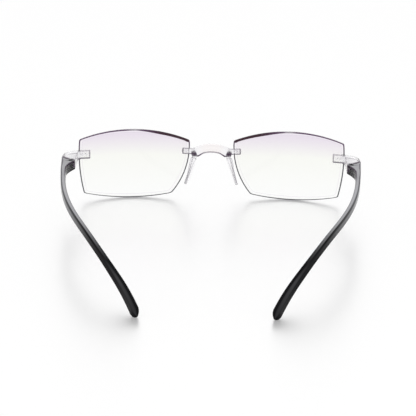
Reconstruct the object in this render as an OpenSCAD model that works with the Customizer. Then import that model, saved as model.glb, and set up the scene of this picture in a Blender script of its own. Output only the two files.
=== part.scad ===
// Rimless eyeglasses with folding arms, standing open on their lenses and arm tips.
// +X is to the wearer's right, +Y is the way the wearer looks and +Z is up.
// The ground is Z = 0, and the origin lies under the middle of the whole pair.
// Each right-hand piece is drawn once, and its left-hand twin is the mirror image.

/* [Lenses] */
// Width of one lens
lens_w = 54; // [44:0.5:66]
// Height of one lens
lens_h = 33.7; // [27:0.1:41]
// Gap between the lenses at the nose
lens_gap = 22.3; // [19:0.1:28]
// Thickness of a lens
lens_t = 2; // [1.6:0.1:2.6]
// Radius of the front surface
front_r = 95; // [78:1:130]
// Angle by which each lens turns back towards the temple
lens_wrap = 5.5; // [3:0.5:8]
// Angle by which the top of each lens leans forward
lens_tilt = 8; // [4:0.5:12]
// Radius of the top edge
top_r = 78; // [65:1:110]
// Radius of the bottom edge
bottom_r = 90; // [75:1:130]
// Radius of the nasal edge
nasal_r = 36; // [32:1:60]
// Radius of the edge at the temple
temporal_r = 75; // [62:1:110]
// How far outwards of the middle the bottom edge is lowest
bottom_shift = 2.7; // [0:0.1:5]
// How far above the middle the nasal edge is fullest
nasal_rise = 9; // [4:0.1:11]
// How far above the middle the edge at the temple is fullest
temporal_rise = 5; // [2:0.1:7]

/* [Lens fixings] */
// Radius of a hole in a lens
lens_hole_r = 0.5; // [0.45:0.01:0.6]
// Radius of a rivet's shank
rivet_r = 0.32; // [0.25:0.01:0.36]
// Radius of a rivet's head
rivet_head_r = 0.7; // [0.6:0.01:0.8]
// Height of a rivet's head
rivet_head_t = 0.35; // [0.25:0.05:0.5]
// From the edge of a lens to the first hole
hole_inset = 1.2; // [1.1:0.1:1.6]
// From the first hole to the second
hole_pitch = 1.7; // [1.7:0.1:2.2]
// How far a tab reaches past the second hole
tab_margin = 0.7; // [0.7:0.1:1.5]
// Play between a tab and the back of its lens
seat_gap = 0.03; // [0.01:0.01:0.1]
// Play round a rivet, a sleeve or a stem
fit_gap = 0.02; // [0.01:0.01:0.04]

/* [Bridge and nose pads] */
// Height of the bridge bar and its tabs
bridge_h = 3; // [2.4:0.1:3.6]
// Depth of the bridge bar from front to back
bridge_d = 2.8; // [2.2:0.1:3.2]
// Rounding of the bar's edges
bridge_round = 0.7; // [0.4:0.1:1]
// How far the bar arches up in the middle
bridge_rise = 2.3; // [0.8:0.1:3]
// Thickness of a bridge tab
bridge_tab_t = 1.6; // [1.3:0.1:2]
// Height of the bridge tabs above the middle of the lens
bridge_up = 6.9; // [4:0.1:8]
// Radius of the post that holds a nose pad
post_r = 1.6; // [1.4:0.1:1.9]
// From the nasal edge of a lens inwards to the middle of the post
post_in = 2.5; // [2.2:0.1:3]
// From the back of a bridge tab back to the middle of the post
post_back = 0.4; // [0.2:0.1:0.8]
// How far the post reaches below the bar
post_drop = 0.4; // [0.3:0.1:0.8]
// Height of a nose pad
pad_h = 14.2; // [10.6:0.1:15.4]
// Depth of a nose pad
pad_d = 6.6; // [5:0.1:7.5]
// Thickness of a nose pad
pad_t = 1.3; // [1:0.1:1.8]
// Outward lean of a nose pad
pad_splay = 16; // [10:0.5:20]
// From the stem back to the middle of a nose pad
pad_back = 1.6; // [1:0.1:2]
// Angle by which a pad's back edge turns outwards
pad_flare = 12; // [6:0.5:18]
// Radius of a pad's stem
stem_r = 0.7; // [0.5:0.05:0.9]
// Length of the stem inside the post
stem_l = 2.2; // [1.6:0.1:2.4]
// Radius of the collar below the post
collar_r = 1.2; // [1:0.05:1.4]
// Height of the collar
collar_t = 0.6; // [0.5:0.1:0.9]
// Radius of the neck between the collar and the pad
neck_r = 0.5; // [0.4:0.05:0.6]
// Length of the neck down into the pad
neck_l = 1; // [0.8:0.1:1.4]

/* [End pieces] */
// Height of an end piece's tab
end_tab_h = 4.2; // [3.5:0.1:4.4]
// Thickness of an end piece's tab
end_tab_t = 1.8; // [1.5:0.1:2.2]
// How far the tab reaches past its second hole
end_tab_margin = 2.8; // [1:0.1:3]
// Height of the end pieces above the middle of the lens
end_up = 5; // [3:0.1:7]
// From the edge of the lens out to the side of the glasses
end_reach = 6.6; // [6:0.1:8]
// Radius of the rounded outer corner
corner_r = 6.5; // [6:0.1:7]
// From the hinge axis forward to the middle of that corner
corner_ahead = 8.7; // [8.5:0.1:9.5]
// How far the tab runs past the edge of the lens into the corner
end_root = 3.2; // [2.6:0.1:3.6]

/* [Hinges] */
// From the edge of the lens back to the hinge axis
hinge_back = 16.2; // [15.5:0.1:17]
// From the side of the glasses in to the hinge axis
hinge_in = 4.8; // [4.4:0.1:5.2]
// Height of the hinge
hinge_h = 4.4; // [3.6:0.1:5.3]
// Height of the tongue in the middle of the hinge
tongue_h = 1.6; // [1.3:0.1:2]
// Radius of the eye round the screw
eye_r = 2; // [1.6:0.05:2.4]
// Radius of the screw
screw_r = 0.6; // [0.5:0.05:0.7]
// Radius of the screw's head
screw_head_r = 1.1; // [1:0.05:1.3]
// Height of the screw's head
screw_head_t = 0.55; // [0.4:0.05:0.7]
// Width of the slot in the screw's head
screw_slot_w = 0.3; // [0.2:0.05:0.4]
// Play between the screw and the tongue that turns on it
turn_gap = 0.05; // [0.03:0.01:0.09]
// Play above and below the tongue
slide_gap = 0.08; // [0.05:0.01:0.15]
// Gap where the open arm stops against the end piece
stop_gap = 0.12; // [0.08:0.01:0.3]
// Room round the eye
eye_gap = 0.3; // [0.2:0.05:0.4]

/* [Arms] */
// Length of an arm behind its hinge block
arm_l = 124; // [102:1:150]
// Length of the hinge block behind the hinge axis
block_l = 11.5; // [10:0.1:14]
// Angle by which the block's outer face leans inwards
block_lean = 5.4; // [4:0.1:7]
// Thickness of the hinge block where the arm leaves it
block_t = 2.4; // [2.3:0.1:2.9]
// Angle round the eye at which the block's inner face leaves it
flank_at = 215; // [205:1:225]
// How far ahead of the arm that hollow face falls into line with it
flank_l = 4; // [2:0.1:6]
// Thickness of an arm
arm_t = 2.2; // [1.8:0.1:2.3]
// Height of an arm where it leaves the block
arm_root_h = 4; // [3.3:0.1:4.3]
// Height of an arm along its middle
arm_h = 3.4; // [2.7:0.1:4]
// Where an arm begins to broaden towards its tip
broad_from = 86; // [70:1:96]
// Thickness of the arm's tip
tip_t = 3.1; // [2.5:0.1:3.7]
// Height of the arm's tip
tip_h = 5.1; // [4.1:0.1:6.1]
// Length over which the tip rounds off
tip_round = 3.2; // [2.5:0.1:5]
// Inward heading of an arm at its block
toe_start = 5.1; // [3:0.1:7]
// Further inward turn along the arm
toe_turn = 16.3; // [10:0.1:20]
// Where that turn begins
toe_from = -5; // [-10:1:5]
// Where that turn ends
toe_to = 70; // [52:1:87]
// Downward bend over the ear
ear_drop = 24; // [16:0.5:32]
// Inward turn along that bend
ear_turn = 13.9; // [6:0.1:16]
// Where the bend over the ear begins
ear_from = 62; // [52:1:77]
// Where the bend over the ear ends
ear_to = 102; // [92:1:117]
// Outward turn back along the tip
tip_turn = 9.8; // [0:0.1:15]
// Length of the tip over which it turns back
tip_turn_l = 25; // [15:1:35]

/* [Hidden] */
$fn = 48;
lens_fn = 180;
clear_plastic = [0.9, 0.9, 0.94];
smoke_plastic = [0.16, 0.16, 0.18];
lens_tint = [0.86, 0.82, 0.92, 0.5];

// Cutting shapes: how far they reach in all, and how far they run past the face they leave by
cut_reach = lens_w;
cut_past = 1;

// Lens outline: centres of the four edge circles, in the lens's own plane, outwards and up
edge_circles = [
    [0, lens_h / 2 - top_r, top_r],
    [bottom_shift, bottom_r - lens_h / 2, bottom_r],
    [nasal_r - lens_w / 2, nasal_rise, nasal_r],
    [lens_w / 2 - temporal_r, temporal_rise, temporal_r]];
back_r = front_r - lens_t;
lens_x = lens_gap / 2 + lens_w / 2 * cos(lens_wrap);

// Where the nasal edge and the edge at the temple cross the height of their tabs
function nasal_edge(up) = nasal_r - lens_w / 2 - sqrt(pow(nasal_r, 2) - pow(up - nasal_rise, 2));
function temporal_edge(up) =
    lens_w / 2 - temporal_r + sqrt(pow(temporal_r, 2) - pow(up - temporal_rise, 2));
nasal_at = nasal_edge(bridge_up);
temporal_at = temporal_edge(end_up);

// How far the front and back surfaces lie behind the lens's own plane
function depth_at(out, up, radius) = sqrt(pow(radius, 2) - pow(out, 2) - pow(up, 2)) - front_r;

// A point of the right lens, given outwards, forwards and up, carried into the glasses
function turned(p) =
    let (x = p[0] * cos(lens_wrap) + p[1] * sin(lens_wrap))
    let (y = p[1] * cos(lens_wrap) - p[0] * sin(lens_wrap))
    [x, y * cos(lens_tilt) + p[2] * sin(lens_tilt), p[2] * cos(lens_tilt) - y * sin(lens_tilt)];
low_edge = turned([bottom_shift, depth_at(bottom_shift, -lens_h / 2, front_r), -lens_h / 2]);
lens_z = -low_edge[2];
function on_glasses(p) = [lens_x, 0, lens_z] + turned(p);

// The back of the lens where the end piece and the bridge leave it
end_seat = on_glasses([temporal_at, depth_at(temporal_at, end_up, back_r), end_up]);
bridge_seat = on_glasses([nasal_at, depth_at(nasal_at, bridge_up, back_r), bridge_up]);

// Hinge axis, outer corner and the vertical stack of the hinge
side_x = end_seat[0] + end_reach;
hinge = [side_x - hinge_in, end_seat[1] - hinge_back, end_seat[2]];
corner = [side_x - corner_r, hinge[1] + corner_ahead];
slot_h = tongue_h + 2 * slide_gap;

// Bridge: the posts stand inside the nasal edges, and the bar is an arc between their middles
post = [bridge_seat[0] - post_in, bridge_seat[1] - bridge_tab_t - post_back, bridge_seat[2]];
bar_r = (pow(post[0], 2) + pow(bridge_rise, 2)) / (2 * bridge_rise);
bar_half_angle = asin(post[0] / bar_r);
post_low = post[2] - bridge_h / 2 - post_drop;

// Arm: even steps along its length, then closer ones where the tip rounds off
straight_steps = 40;
round_steps = 5;
arm_steps = straight_steps + round_steps;
tip_from = arm_l - tip_round;
tip_least = 0.03;

// Arm section: a ring whose power is 1 for an ellipse and 0 for a rectangle
ring_sides = 16;
ring_power = 0.62;

// Where the arm leaves the block, how far it is rooted in it, and over what length it takes up its slope
block_in = (hinge_in + block_l) * tan(block_lean);
root_mid = [side_x - block_t / 2 - block_in, hinge[1] - block_l, hinge[2]];
root_in = 2;
lead_in = 12;

// Heading and pitch along the arm, and the path that they lead along
function smooth(t) = let (c = min(1, max(0, t))) c * c * (3 - 2 * c);
function between(s, from, to) = smooth((s - from) / (to - from));
function place_of(i) = i <= straight_steps
    ? (tip_from + root_in) * i / straight_steps - root_in
    : tip_from + tip_round * sin(90 * (i - straight_steps) / round_steps);
function heading(s) =
    toe_start + toe_turn * between(s, toe_from, toe_to) + ear_turn * between(s, ear_from, ear_to)
    - tip_turn * between(s, arm_l - tip_turn_l, arm_l);
function pitch(s, slope) = slope * between(s, 0, lead_in) + ear_drop * between(s, ear_from, ear_to);
function along(s, slope) =
    let (turn = heading(s), drop = pitch(s, slope))
    [-sin(turn) * cos(drop), -cos(turn) * cos(drop), -sin(drop)];
function stride(i, slope) =
    (place_of(i + 1) - place_of(i)) * along((place_of(i + 1) + place_of(i)) / 2, slope);
arm_start = root_mid - root_in * along(0, 0);
function arm_path(slope) =
    [for (i = 0, p = arm_start; i <= arm_steps; p = p + stride(i, slope), i = i + 1) p];
function end_round(s) = sqrt(max(tip_least, 1 - pow(max(0, s - tip_from) / tip_round, 2)));
function half_t(s) = end_round(s) * (arm_t + (tip_t - arm_t) * between(s, broad_from, arm_l)) / 2;
function half_h(s) = end_round(s) * (arm_root_h + (arm_h - arm_root_h) * between(s, 0, ear_from / 2)
    + (tip_h - arm_h) * between(s, broad_from, arm_l)) / 2;

// Slope at which the lowest point of the arm just reaches the ground
function lowest(slope) = let (path = arm_path(slope))
    min([for (i = [0 : arm_steps]) path[i][2] - half_h(place_of(i)) * cos(pitch(place_of(i), slope))]);
function settle(slope, turns) =
    turns == 0 ? slope : settle(slope + lowest(slope) / arm_l * 180 / PI, turns - 1);
first_slope = 2;
settle_turns = 6;
arm_slope = settle(first_slope, settle_turns);

// Moves the pair so that the origin is under its middle
front_y = front_r * (1 - cos(lens_wrap) * cos(lens_tilt));
tip_end = arm_path(arm_slope)[arm_steps];
middle_y = (front_y + tip_end[1]) / 2;

// Placing
module in_frame() {
    translate([0, -middle_y, 0]) children();
}

module left_hand() {
    mirror([1, 0, 0]) children();
}

module on_right_lens() {
    translate([lens_x, 0, lens_z]) rotate([-lens_tilt, 0, 0]) rotate([0, 0, -lens_wrap]) children();
}

// A place on the front surface, with +Y straight out of the lens
module on_surface(out, up) {
    around = atan2(out, sqrt(pow(front_r, 2) - pow(out, 2) - pow(up, 2)));
    translate([0, -front_r, 0]) rotate([0, 0, -around]) rotate([asin(up / front_r), 0, 0])
        translate([0, front_r, 0]) children();
}

// The two hole places of the nasal and of the temporal fixing
module at_bridge_holes() {
    for (i = [0, 1]) on_surface(nasal_at + hole_inset + i * hole_pitch, bridge_up) children();
}

module at_end_holes() {
    for (i = [0, 1]) on_surface(temporal_at - hole_inset - i * hole_pitch, end_up) children();
}

// A round bar along +Y from one place to another
module bar_y(from, to, r) {
    translate([0, from, 0]) rotate([-90, 0, 0]) cylinder(h = to - from, r = r);
}

// Lens
module lens_blank() {
    intersection() {
        difference() {
            translate([0, -front_r, 0]) sphere(r = front_r, $fn = lens_fn);
            translate([0, -front_r, 0]) sphere(r = back_r, $fn = lens_fn);
        }
        lens_outline();
    }
}

module lens_outline() {
    intersection_for (c = edge_circles)
        translate([c[0], 0, c[1]]) rotate([90, 0, 0])
            cylinder(h = cut_reach, r = c[2], center = true, $fn = lens_fn);
}

module right_lens_shape() {
    color(lens_tint) in_frame() on_right_lens() difference() {
        lens_blank();
        at_bridge_holes() bar_y(-2 * lens_t, lens_t, lens_hole_r);
        at_end_holes() bar_y(-2 * lens_t, lens_t, lens_hole_r);
    }
}

// Rivets and sleeves: the head lies on the front of the lens, and the tail fills the tab's countersink
countersink_t = rivet_head_t;
countersink_r = rivet_r + countersink_t / 2;

module rivet(tab_t) {
    tail = -(lens_t + seat_gap + tab_t);
    bar_y(tail, rivet_head_t / 2, rivet_r);
    bar_y(0, rivet_head_t, rivet_head_r);
    translate([0, tail, 0]) rotate([-90, 0, 0])
        cylinder(h = countersink_t, r1 = countersink_r, r2 = rivet_r);
}

module rivet_hole(tab_t) {
    tail = -(lens_t + seat_gap + tab_t);
    bar_y(tail - cut_past, 0, rivet_r + fit_gap);
    translate([0, tail, 0]) rotate([-90, 0, 0])
        cylinder(h = countersink_t, r1 = countersink_r + fit_gap, r2 = rivet_r + fit_gap);
    bar_y(tail - cut_past, tail, countersink_r + fit_gap);
}

module sleeve() {
    difference() {
        bar_y(-lens_t, 0, lens_hole_r - fit_gap);
        bar_y(-2 * lens_t, lens_t, rivet_r + fit_gap);
    }
}

module right_bridge_rivet_pair() {
    color(clear_plastic) in_frame() on_right_lens() at_bridge_holes() rivet(bridge_tab_t);
}

module right_end_rivet_pair() {
    color(clear_plastic) in_frame() on_right_lens() at_end_holes() rivet(end_tab_t);
}

module right_bridge_sleeve_pair() {
    color(clear_plastic) in_frame() on_right_lens() at_bridge_holes() sleeve();
}

module right_end_sleeve_pair() {
    color(clear_plastic) in_frame() on_right_lens() at_end_holes() sleeve();
}

// A tab behind the lens, from one distance outwards to another, shaped to the back of the lens
module tab(from, to, up, height, thickness) {
    middle = (from + to) / 2;
    seat_r = back_r - seat_gap;
    intersection() {
        translate([0, -front_r, 0]) sphere(r = seat_r, $fn = lens_fn);
        on_surface(middle, up) translate([from - middle, -lens_t - seat_gap - thickness, -height / 2])
            cube([to - from, thickness + lens_t, height]);
    }
}

// Bridge
module bridge_tab() {
    tab_to = nasal_at + hole_inset + hole_pitch + tab_margin;
    on_right_lens() difference() {
        tab(nasal_at - post_in, tab_to, bridge_up, bridge_h, bridge_tab_t);
        at_bridge_holes() rivet_hole(bridge_tab_t);
    }
}

module bar_section() {
    inner = [bridge_h - 2 * bridge_round, bridge_d - 2 * bridge_round];
    square([bridge_h, inner[1]], center = true);
    square([inner[0], bridge_d], center = true);
    for (x = [-1, 1], y = [-1, 1])
        translate([x * inner[0] / 2, y * inner[1] / 2]) circle(r = bridge_round);
}

module bridge_bar() {
    translate([0, post[1], post[2] + bridge_rise - bar_r]) rotate([90, 0, 0])
        rotate([0, 0, 90 - bar_half_angle]) rotate_extrude(angle = 2 * bar_half_angle, $fn = lens_fn)
            translate([bar_r, 0]) bar_section();
}

module bridge() {
    color(clear_plastic) in_frame() difference() {
        union() {
            bridge_bar();
            for (side = [0, 1]) mirror([side, 0, 0]) {
                bridge_tab();
                translate([post[0], post[1], post_low]) cylinder(h = post_drop + bridge_h, r = post_r);
            }
        }
        for (side = [0, 1]) mirror([side, 0, 0])
            translate([post[0], post[1], post_low - cut_past])
                cylinder(h = cut_past + stem_l + fit_gap, r = stem_r + fit_gap);
    }
}

// Nose pad: a flat blade with round ends, hung from a collar under the post with a stem up into it
module right_nose_pad_shape() {
    color(clear_plastic) in_frame() translate([post[0], post[1], post_low]) {
        cylinder(h = stem_l, r = stem_r);
        translate([0, 0, -collar_t]) cylinder(h = collar_t, r = collar_r);
        translate([0, 0, -collar_t - neck_l]) cylinder(h = neck_l, r = neck_r);
        rotate([0, 0, pad_flare]) translate([0, -pad_back, -collar_t])
            rotate([0, -pad_splay, 0]) pad_blade();
    }
}

module pad_blade() {
    end_r = pad_d / 2;
    translate([-pad_t / 2, 0, -end_r]) rotate([90, 0, 90]) linear_extrude(pad_t) {
        circle(r = end_r);
        translate([0, pad_d - pad_h]) circle(r = end_r);
        translate([-end_r, pad_d - pad_h]) square([pad_d, pad_h - pad_d]);
    }
}

// End piece: a tab behind the lens, a rounded corner and a tongue that carries the screw
module behind_stop(gap) {
    translate([hinge[0], hinge[1]]) rotate(45)
        translate([-cut_reach, -cut_reach - gap]) square([2 * cut_reach, cut_reach]);
}

module end_plan() {
    inner_x = hinge[0] - eye_r;
    difference() {
        intersection() {
            union() {
                translate(corner) circle(r = corner_r);
                translate([inner_x, hinge[1]]) square([side_x - inner_x, corner[1] - hinge[1]]);
            }
            translate([inner_x, hinge[1]]) square(cut_reach);
        }
        behind_stop(-stop_gap);
        translate([hinge[0], hinge[1]]) circle(r = eye_r + eye_gap);
    }
}

module tongue_plan() {
    translate([hinge[0], hinge[1]]) circle(r = eye_r);
    difference() {
        translate([hinge[0] - eye_r, hinge[1]]) square([2 * eye_r, corner[1] - hinge[1]]);
        behind_stop(-stop_gap);
    }
}

module right_end_piece_shape() {
    tab_from = temporal_at - hole_inset - hole_pitch - end_tab_margin;
    color(clear_plastic) in_frame() difference() {
        union() {
            on_right_lens() tab(tab_from, temporal_at + end_root, end_up, end_tab_h, end_tab_t);
            translate([0, 0, hinge[2] - hinge_h / 2]) linear_extrude(hinge_h) end_plan();
            translate([0, 0, hinge[2] - tongue_h / 2]) linear_extrude(tongue_h) tongue_plan();
        }
        on_right_lens() at_end_holes() rivet_hole(end_tab_t);
        translate(hinge) cylinder(h = 2 * hinge_h, r = screw_r + turn_gap, center = true);
    }
}

// Temple: a forked hinge block, whose hollow inner face leaves the eye and falls into line with the arm
flank_steps = 8;
function flank(t, from, by, to) = pow(1 - t, 2) * from + 2 * t * (1 - t) * by + pow(t, 2) * to;

module block_plan() {
    axis = [hinge[0], hinge[1]];
    out = [cos(toe_start), -sin(toe_start)] * block_t / 2;
    rear = [root_mid[0], root_mid[1]];
    inner = rear - out;
    bend = inner + flank_l * [sin(toe_start), cos(toe_start)];
    leaves = axis + eye_r * [cos(flank_at), sin(flank_at)];
    face = [for (i = [0 : flank_steps]) flank(i / flank_steps, inner, bend, leaves)];
    translate(axis) circle(r = eye_r);
    polygon(concat([axis, [side_x, hinge[1] + hinge_in], rear + out], face));
}

module hinge_block() {
    difference() {
        translate([0, 0, hinge[2] - hinge_h / 2]) linear_extrude(hinge_h) block_plan();
        translate(hinge) {
            cylinder(h = slot_h, r = eye_r + eye_gap, center = true);
            cylinder(h = 2 * hinge_h, r = screw_r + fit_gap, center = true);
            translate([0, 0, hinge_h / 2 - screw_head_t])
                cylinder(h = hinge_h, r = screw_head_r + fit_gap);
        }
    }
}

// One ring of points round the arm
function bent(value) = sign(value) * pow(abs(value), ring_power);
function ring(i) =
    let (s = place_of(i), h = heading(s), mid = arm_path(arm_slope)[i])
    let (out = [cos(h), -sin(h), 0], up = cross(along(s, arm_slope), out))
    [for (k = [0 : ring_sides - 1]) let (a = 360 * (k + 0.5) / ring_sides)
        mid + out * half_t(s) * bent(cos(a)) + up * half_h(s) * bent(sin(a))];

module arm() {
    points = [for (i = [0 : arm_steps]) each ring(i)];
    last = arm_steps * ring_sides;
    sides = [for (i = [0 : arm_steps - 1], k = [0 : ring_sides - 1])
        let (a = i * ring_sides + k, b = i * ring_sides + (k + 1) % ring_sides)
        each [[a, b + ring_sides, b], [a, a + ring_sides, b + ring_sides]]];
    root = [for (k = [1 : ring_sides - 2]) [0, k, k + 1]];
    tip = [for (k = [1 : ring_sides - 2]) [last, last + k + 1, last + k]];
    polyhedron(points, concat(sides, root, tip));
}

module right_temple_shape() {
    color(smoke_plastic) in_frame() {
        hinge_block();
        arm();
    }
}

// Hinge screw
module right_hinge_screw_shape() {
    color("silver") in_frame() translate(hinge) difference() {
        union() {
            translate([0, 0, -hinge_h / 2]) cylinder(h = hinge_h, r = screw_r);
            translate([0, 0, hinge_h / 2 - screw_head_t]) cylinder(h = screw_head_t, r = screw_head_r);
        }
        translate([-screw_head_r - cut_past, -screw_slot_w / 2, hinge_h / 2 - screw_head_t / 2])
            cube([2 * (screw_head_r + cut_past), screw_slot_w, screw_head_t]);
    }
}

module left_lens() { left_hand() right_lens_shape(); }
module right_lens() { right_lens_shape(); }
module left_nose_pad() { left_hand() right_nose_pad_shape(); }
module right_nose_pad() { right_nose_pad_shape(); }
module left_end_piece() { left_hand() right_end_piece_shape(); }
module right_end_piece() { right_end_piece_shape(); }
module left_bridge_rivets() { left_hand() right_bridge_rivet_pair(); }
module right_bridge_rivets() { right_bridge_rivet_pair(); }
module left_end_rivets() { left_hand() right_end_rivet_pair(); }
module right_end_rivets() { right_end_rivet_pair(); }
module left_bridge_sleeves() { left_hand() right_bridge_sleeve_pair(); }
module right_bridge_sleeves() { right_bridge_sleeve_pair(); }
module left_end_sleeves() { left_hand() right_end_sleeve_pair(); }
module right_end_sleeves() { right_end_sleeve_pair(); }
module left_temple() { left_hand() right_temple_shape(); }
module right_temple() { right_temple_shape(); }
module left_hinge_screw() { left_hand() right_hinge_screw_shape(); }
module right_hinge_screw() { right_hinge_screw_shape(); }

left_lens();
right_lens();
bridge();
left_nose_pad();
right_nose_pad();
left_end_piece();
right_end_piece();
left_bridge_rivets();
right_bridge_rivets();
left_end_rivets();
right_end_rivets();
left_bridge_sleeves();
right_bridge_sleeves();
left_end_sleeves();
right_end_sleeves();
left_temple();
right_temple();
left_hinge_screw();
right_hinge_screw();
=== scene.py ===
"""Rimless eyeglasses: the looks of the pair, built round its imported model.

All places are in metres in the model's own frame: +X to the wearer's right, +Y the way the wearer looks and
+Z up. Each right-hand shape is worked out once, and the left-hand one is its mirror image.
"""

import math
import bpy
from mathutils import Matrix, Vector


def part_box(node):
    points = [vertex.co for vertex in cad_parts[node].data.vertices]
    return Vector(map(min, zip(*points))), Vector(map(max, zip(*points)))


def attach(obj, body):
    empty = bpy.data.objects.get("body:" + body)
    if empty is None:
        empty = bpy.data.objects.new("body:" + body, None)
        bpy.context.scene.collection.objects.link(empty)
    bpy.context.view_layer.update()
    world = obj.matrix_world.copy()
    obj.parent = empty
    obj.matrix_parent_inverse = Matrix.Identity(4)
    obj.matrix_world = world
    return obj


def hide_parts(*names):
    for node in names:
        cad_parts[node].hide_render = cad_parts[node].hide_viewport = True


bl_info = {
    "name": "Rimless eyeglasses",
    "version": (1, 0, 0),
    "blender": (4, 5, 0),
    "location": "View3D > Sidebar > Eyeglasses",
    "description": "Builds tinted rimless eyeglasses with clear fittings and smoky folding arms",
    "category": "Object",
}

from types import SimpleNamespace

import bpy
import numpy as np
from bpy.props import FloatProperty, FloatVectorProperty, PointerProperty
from mathutils import Matrix, Vector

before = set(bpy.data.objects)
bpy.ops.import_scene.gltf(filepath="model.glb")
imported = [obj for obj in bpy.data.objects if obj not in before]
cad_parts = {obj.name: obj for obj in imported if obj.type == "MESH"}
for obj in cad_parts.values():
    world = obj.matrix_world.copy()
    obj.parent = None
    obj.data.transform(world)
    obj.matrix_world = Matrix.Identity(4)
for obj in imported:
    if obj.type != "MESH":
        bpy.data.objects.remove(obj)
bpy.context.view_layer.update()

MM = 0.001
SIDES = {"left": -1.0, "right": 1.0}
FRONT = "front"


# Settings

def size(label, text, mm):
    """A length, given in millimetres and kept in metres."""
    return FloatProperty(name=label, description=text, default=mm * MM, unit="LENGTH", precision=5)


def angle(label, text, degrees):
    """An angle, given in degrees and kept in radians."""
    return FloatProperty(name=label, description=text, default=math.radians(degrees), subtype="ANGLE")


def colour(label, text, rgb):
    """A colour in linear red, green and blue."""
    return FloatVectorProperty(name=label, description=text, default=rgb, size=3, min=0, max=1,
                               subtype="COLOR")


def place(label, text, metres):
    """A point in the model's frame."""
    return FloatVectorProperty(name=label, description=text, default=metres, size=3, subtype="TRANSLATION")


def share(label, text, value):
    """A plain number from nothing to one."""
    return FloatProperty(name=label, description=text, default=value, min=0, max=1, subtype="FACTOR")


class EYEWEAR_PG_lens(bpy.types.PropertyGroup):
    """Sizes and tints of the lenses."""

    width: size("Width", "Width of one lens", 54)
    height: size("Height", "Height of one lens", 33.7)
    gap: size("Gap", "Gap between the lenses at the nose", 22.3)
    thick: size("Thickness", "Thickness of a lens", 2)
    front_r: size("Front radius", "Radius of the front surface", 95)
    wrap: angle("Wrap", "Turn of each lens back towards the temple", 5.5)
    tilt: angle("Tilt", "Forward lean of the top of each lens", 8)
    top_r: size("Top radius", "Radius of the top edge", 78)
    bottom_r: size("Bottom radius", "Radius of the bottom edge", 90)
    nasal_r: size("Nasal radius", "Radius of the edge at the nose", 36)
    temporal_r: size("Temporal radius", "Radius of the edge at the temple", 75)
    bottom_shift: size("Bottom shift", "How far outwards the bottom edge is lowest", 2.7)
    nasal_rise: size("Nasal rise", "How far up the nasal edge is fullest", 9)
    temporal_rise: size("Temporal rise", "How far up the edge at the temple is fullest", 5)
    facet: size("Facet", "Width of the cut facet round the front", 1.5)
    facet_drop: size("Facet drop", "Depth of that facet at the edge", 0.35)
    chamfer: size("Chamfer", "Width of the polished edge round the back", 0.62)
    cut: size("Top cut", "Extra width of the dark cut along the nasal half of the top edge", 0.9)
    tint_high: colour("Upper tint", "Tint at the top of the lens", (0.82, 0.755, 0.84))
    tint_middle: colour("Middle tint", "Tint half way down the lens", (0.945, 0.95, 0.912))
    tint_low: colour("Lower tint", "Tint at the foot of the lens", (0.985, 0.99, 0.98))
    crease: colour("Crease", "Tint of the line along which the facet begins", (0.62, 0.52, 0.66))
    # Painted shade: the polished edge is clear plastic, and these three colours paint on the dark it shows
    # where light runs a long way through the tint
    rim_high: colour("Upper rim", "Colour of the polished edge at the top", (0.10, 0.05, 0.11))
    rim_low: colour("Lower rim", "Colour of the polished edge at the foot", (0.13, 0.13, 0.14))
    rim_cut: colour("Dark cut", "Colour of the cut along the top edge", (0.03, 0.007, 0.016))


class EYEWEAR_PG_bridge(bpy.types.PropertyGroup):
    """Sizes of the bridge, its posts and the nose pads, and the finish of the clear plastic, with its painted
    shade.
    """

    tab_h: size("Tab size", "Height of a bridge tab", 3)
    bar_h: size("Bar height", "Height of the bridge bar", 3.6)
    bar_d: size("Bar depth", "Depth of the bridge bar", 2.8)
    bar_low: size("Bar drop", "How far the lower edge of the bar lies below its section", 0.5)
    web: size("Web", "How far that edge falls further beside the posts", 0.6)
    bar_round: size("Bar rounding", "Rounding of the bar's edges", 0.7)
    rise: size("Rise", "How far the bar arches up in the middle", 2.3)
    tab_t: size("Tab thickness", "Thickness of a bridge tab", 1.6)
    tab_round: size("Tab rounding", "Rounding of a tab's edges", 0.35)
    tab_l: size("Tab length", "From the edge of the lens to the end of a bridge tab", 3.6)
    up: size("Tab height", "Height of the tabs above the middle of the lens", 6.9)
    seat_gap: size("Seat gap", "Play between a tab and its lens", 0.03)
    post_r: size("Post radius", "Radius of the post that holds a pad", 1.6)
    post_in: size("Post inset", "From the edge of the lens inwards to the post", 2.5)
    post_back: size("Post set-back", "From the back of a tab to the middle of the post", 0.4)
    post_drop: size("Post drop", "How far the post reaches below the bar", 0.4)
    pad_h: size("Pad height", "Height of a nose pad", 14.2)
    pad_d: size("Pad depth", "Depth of a nose pad", 6.6)
    pad_t: size("Pad thickness", "Thickness of a nose pad", 1.3)
    pad_splay: angle("Pad splay", "Outward lean of a nose pad", 16)
    pad_flare: angle("Pad flare", "Outward turn of a pad's back edge", 12)
    pad_back: size("Pad set-back", "From the stem back to the middle of a pad", 1.6)
    stem_r: size("Stem radius", "Radius of a pad's stem", 0.7)
    stem_l: size("Stem length", "Length of the stem in its post", 2.2)
    collar_r: size("Collar radius", "Radius of the collar below the post", 1.2)
    collar_t: size("Collar height", "Height of the collar", 0.6)
    neck_r: size("Neck radius", "Radius of the neck above the pad", 0.5)
    neck_l: size("Neck length", "Length of the neck", 1)
    fit_gap: size("Fit gap", "Play round a stem", 0.02)
    clear: colour("Clear plastic", "Tint of the clear plastic", (0.93, 0.925, 0.94))
    blush: colour("Blush", "Tint of the clear plastic in the middle of the bar", (0.945, 0.91, 0.905))
    # Painted shade: the clear plastic is clear at its edges and joints, and these two colours paint on the
    # dark they show in the light
    edge: colour("Clear edge", "Colour of the clear plastic along its edges", (0.12, 0.085, 0.135))
    joint: colour("Joint", "Colour of the clear plastic where a pad is let into its post",
                  (0.03, 0.003, 0.034))


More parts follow.
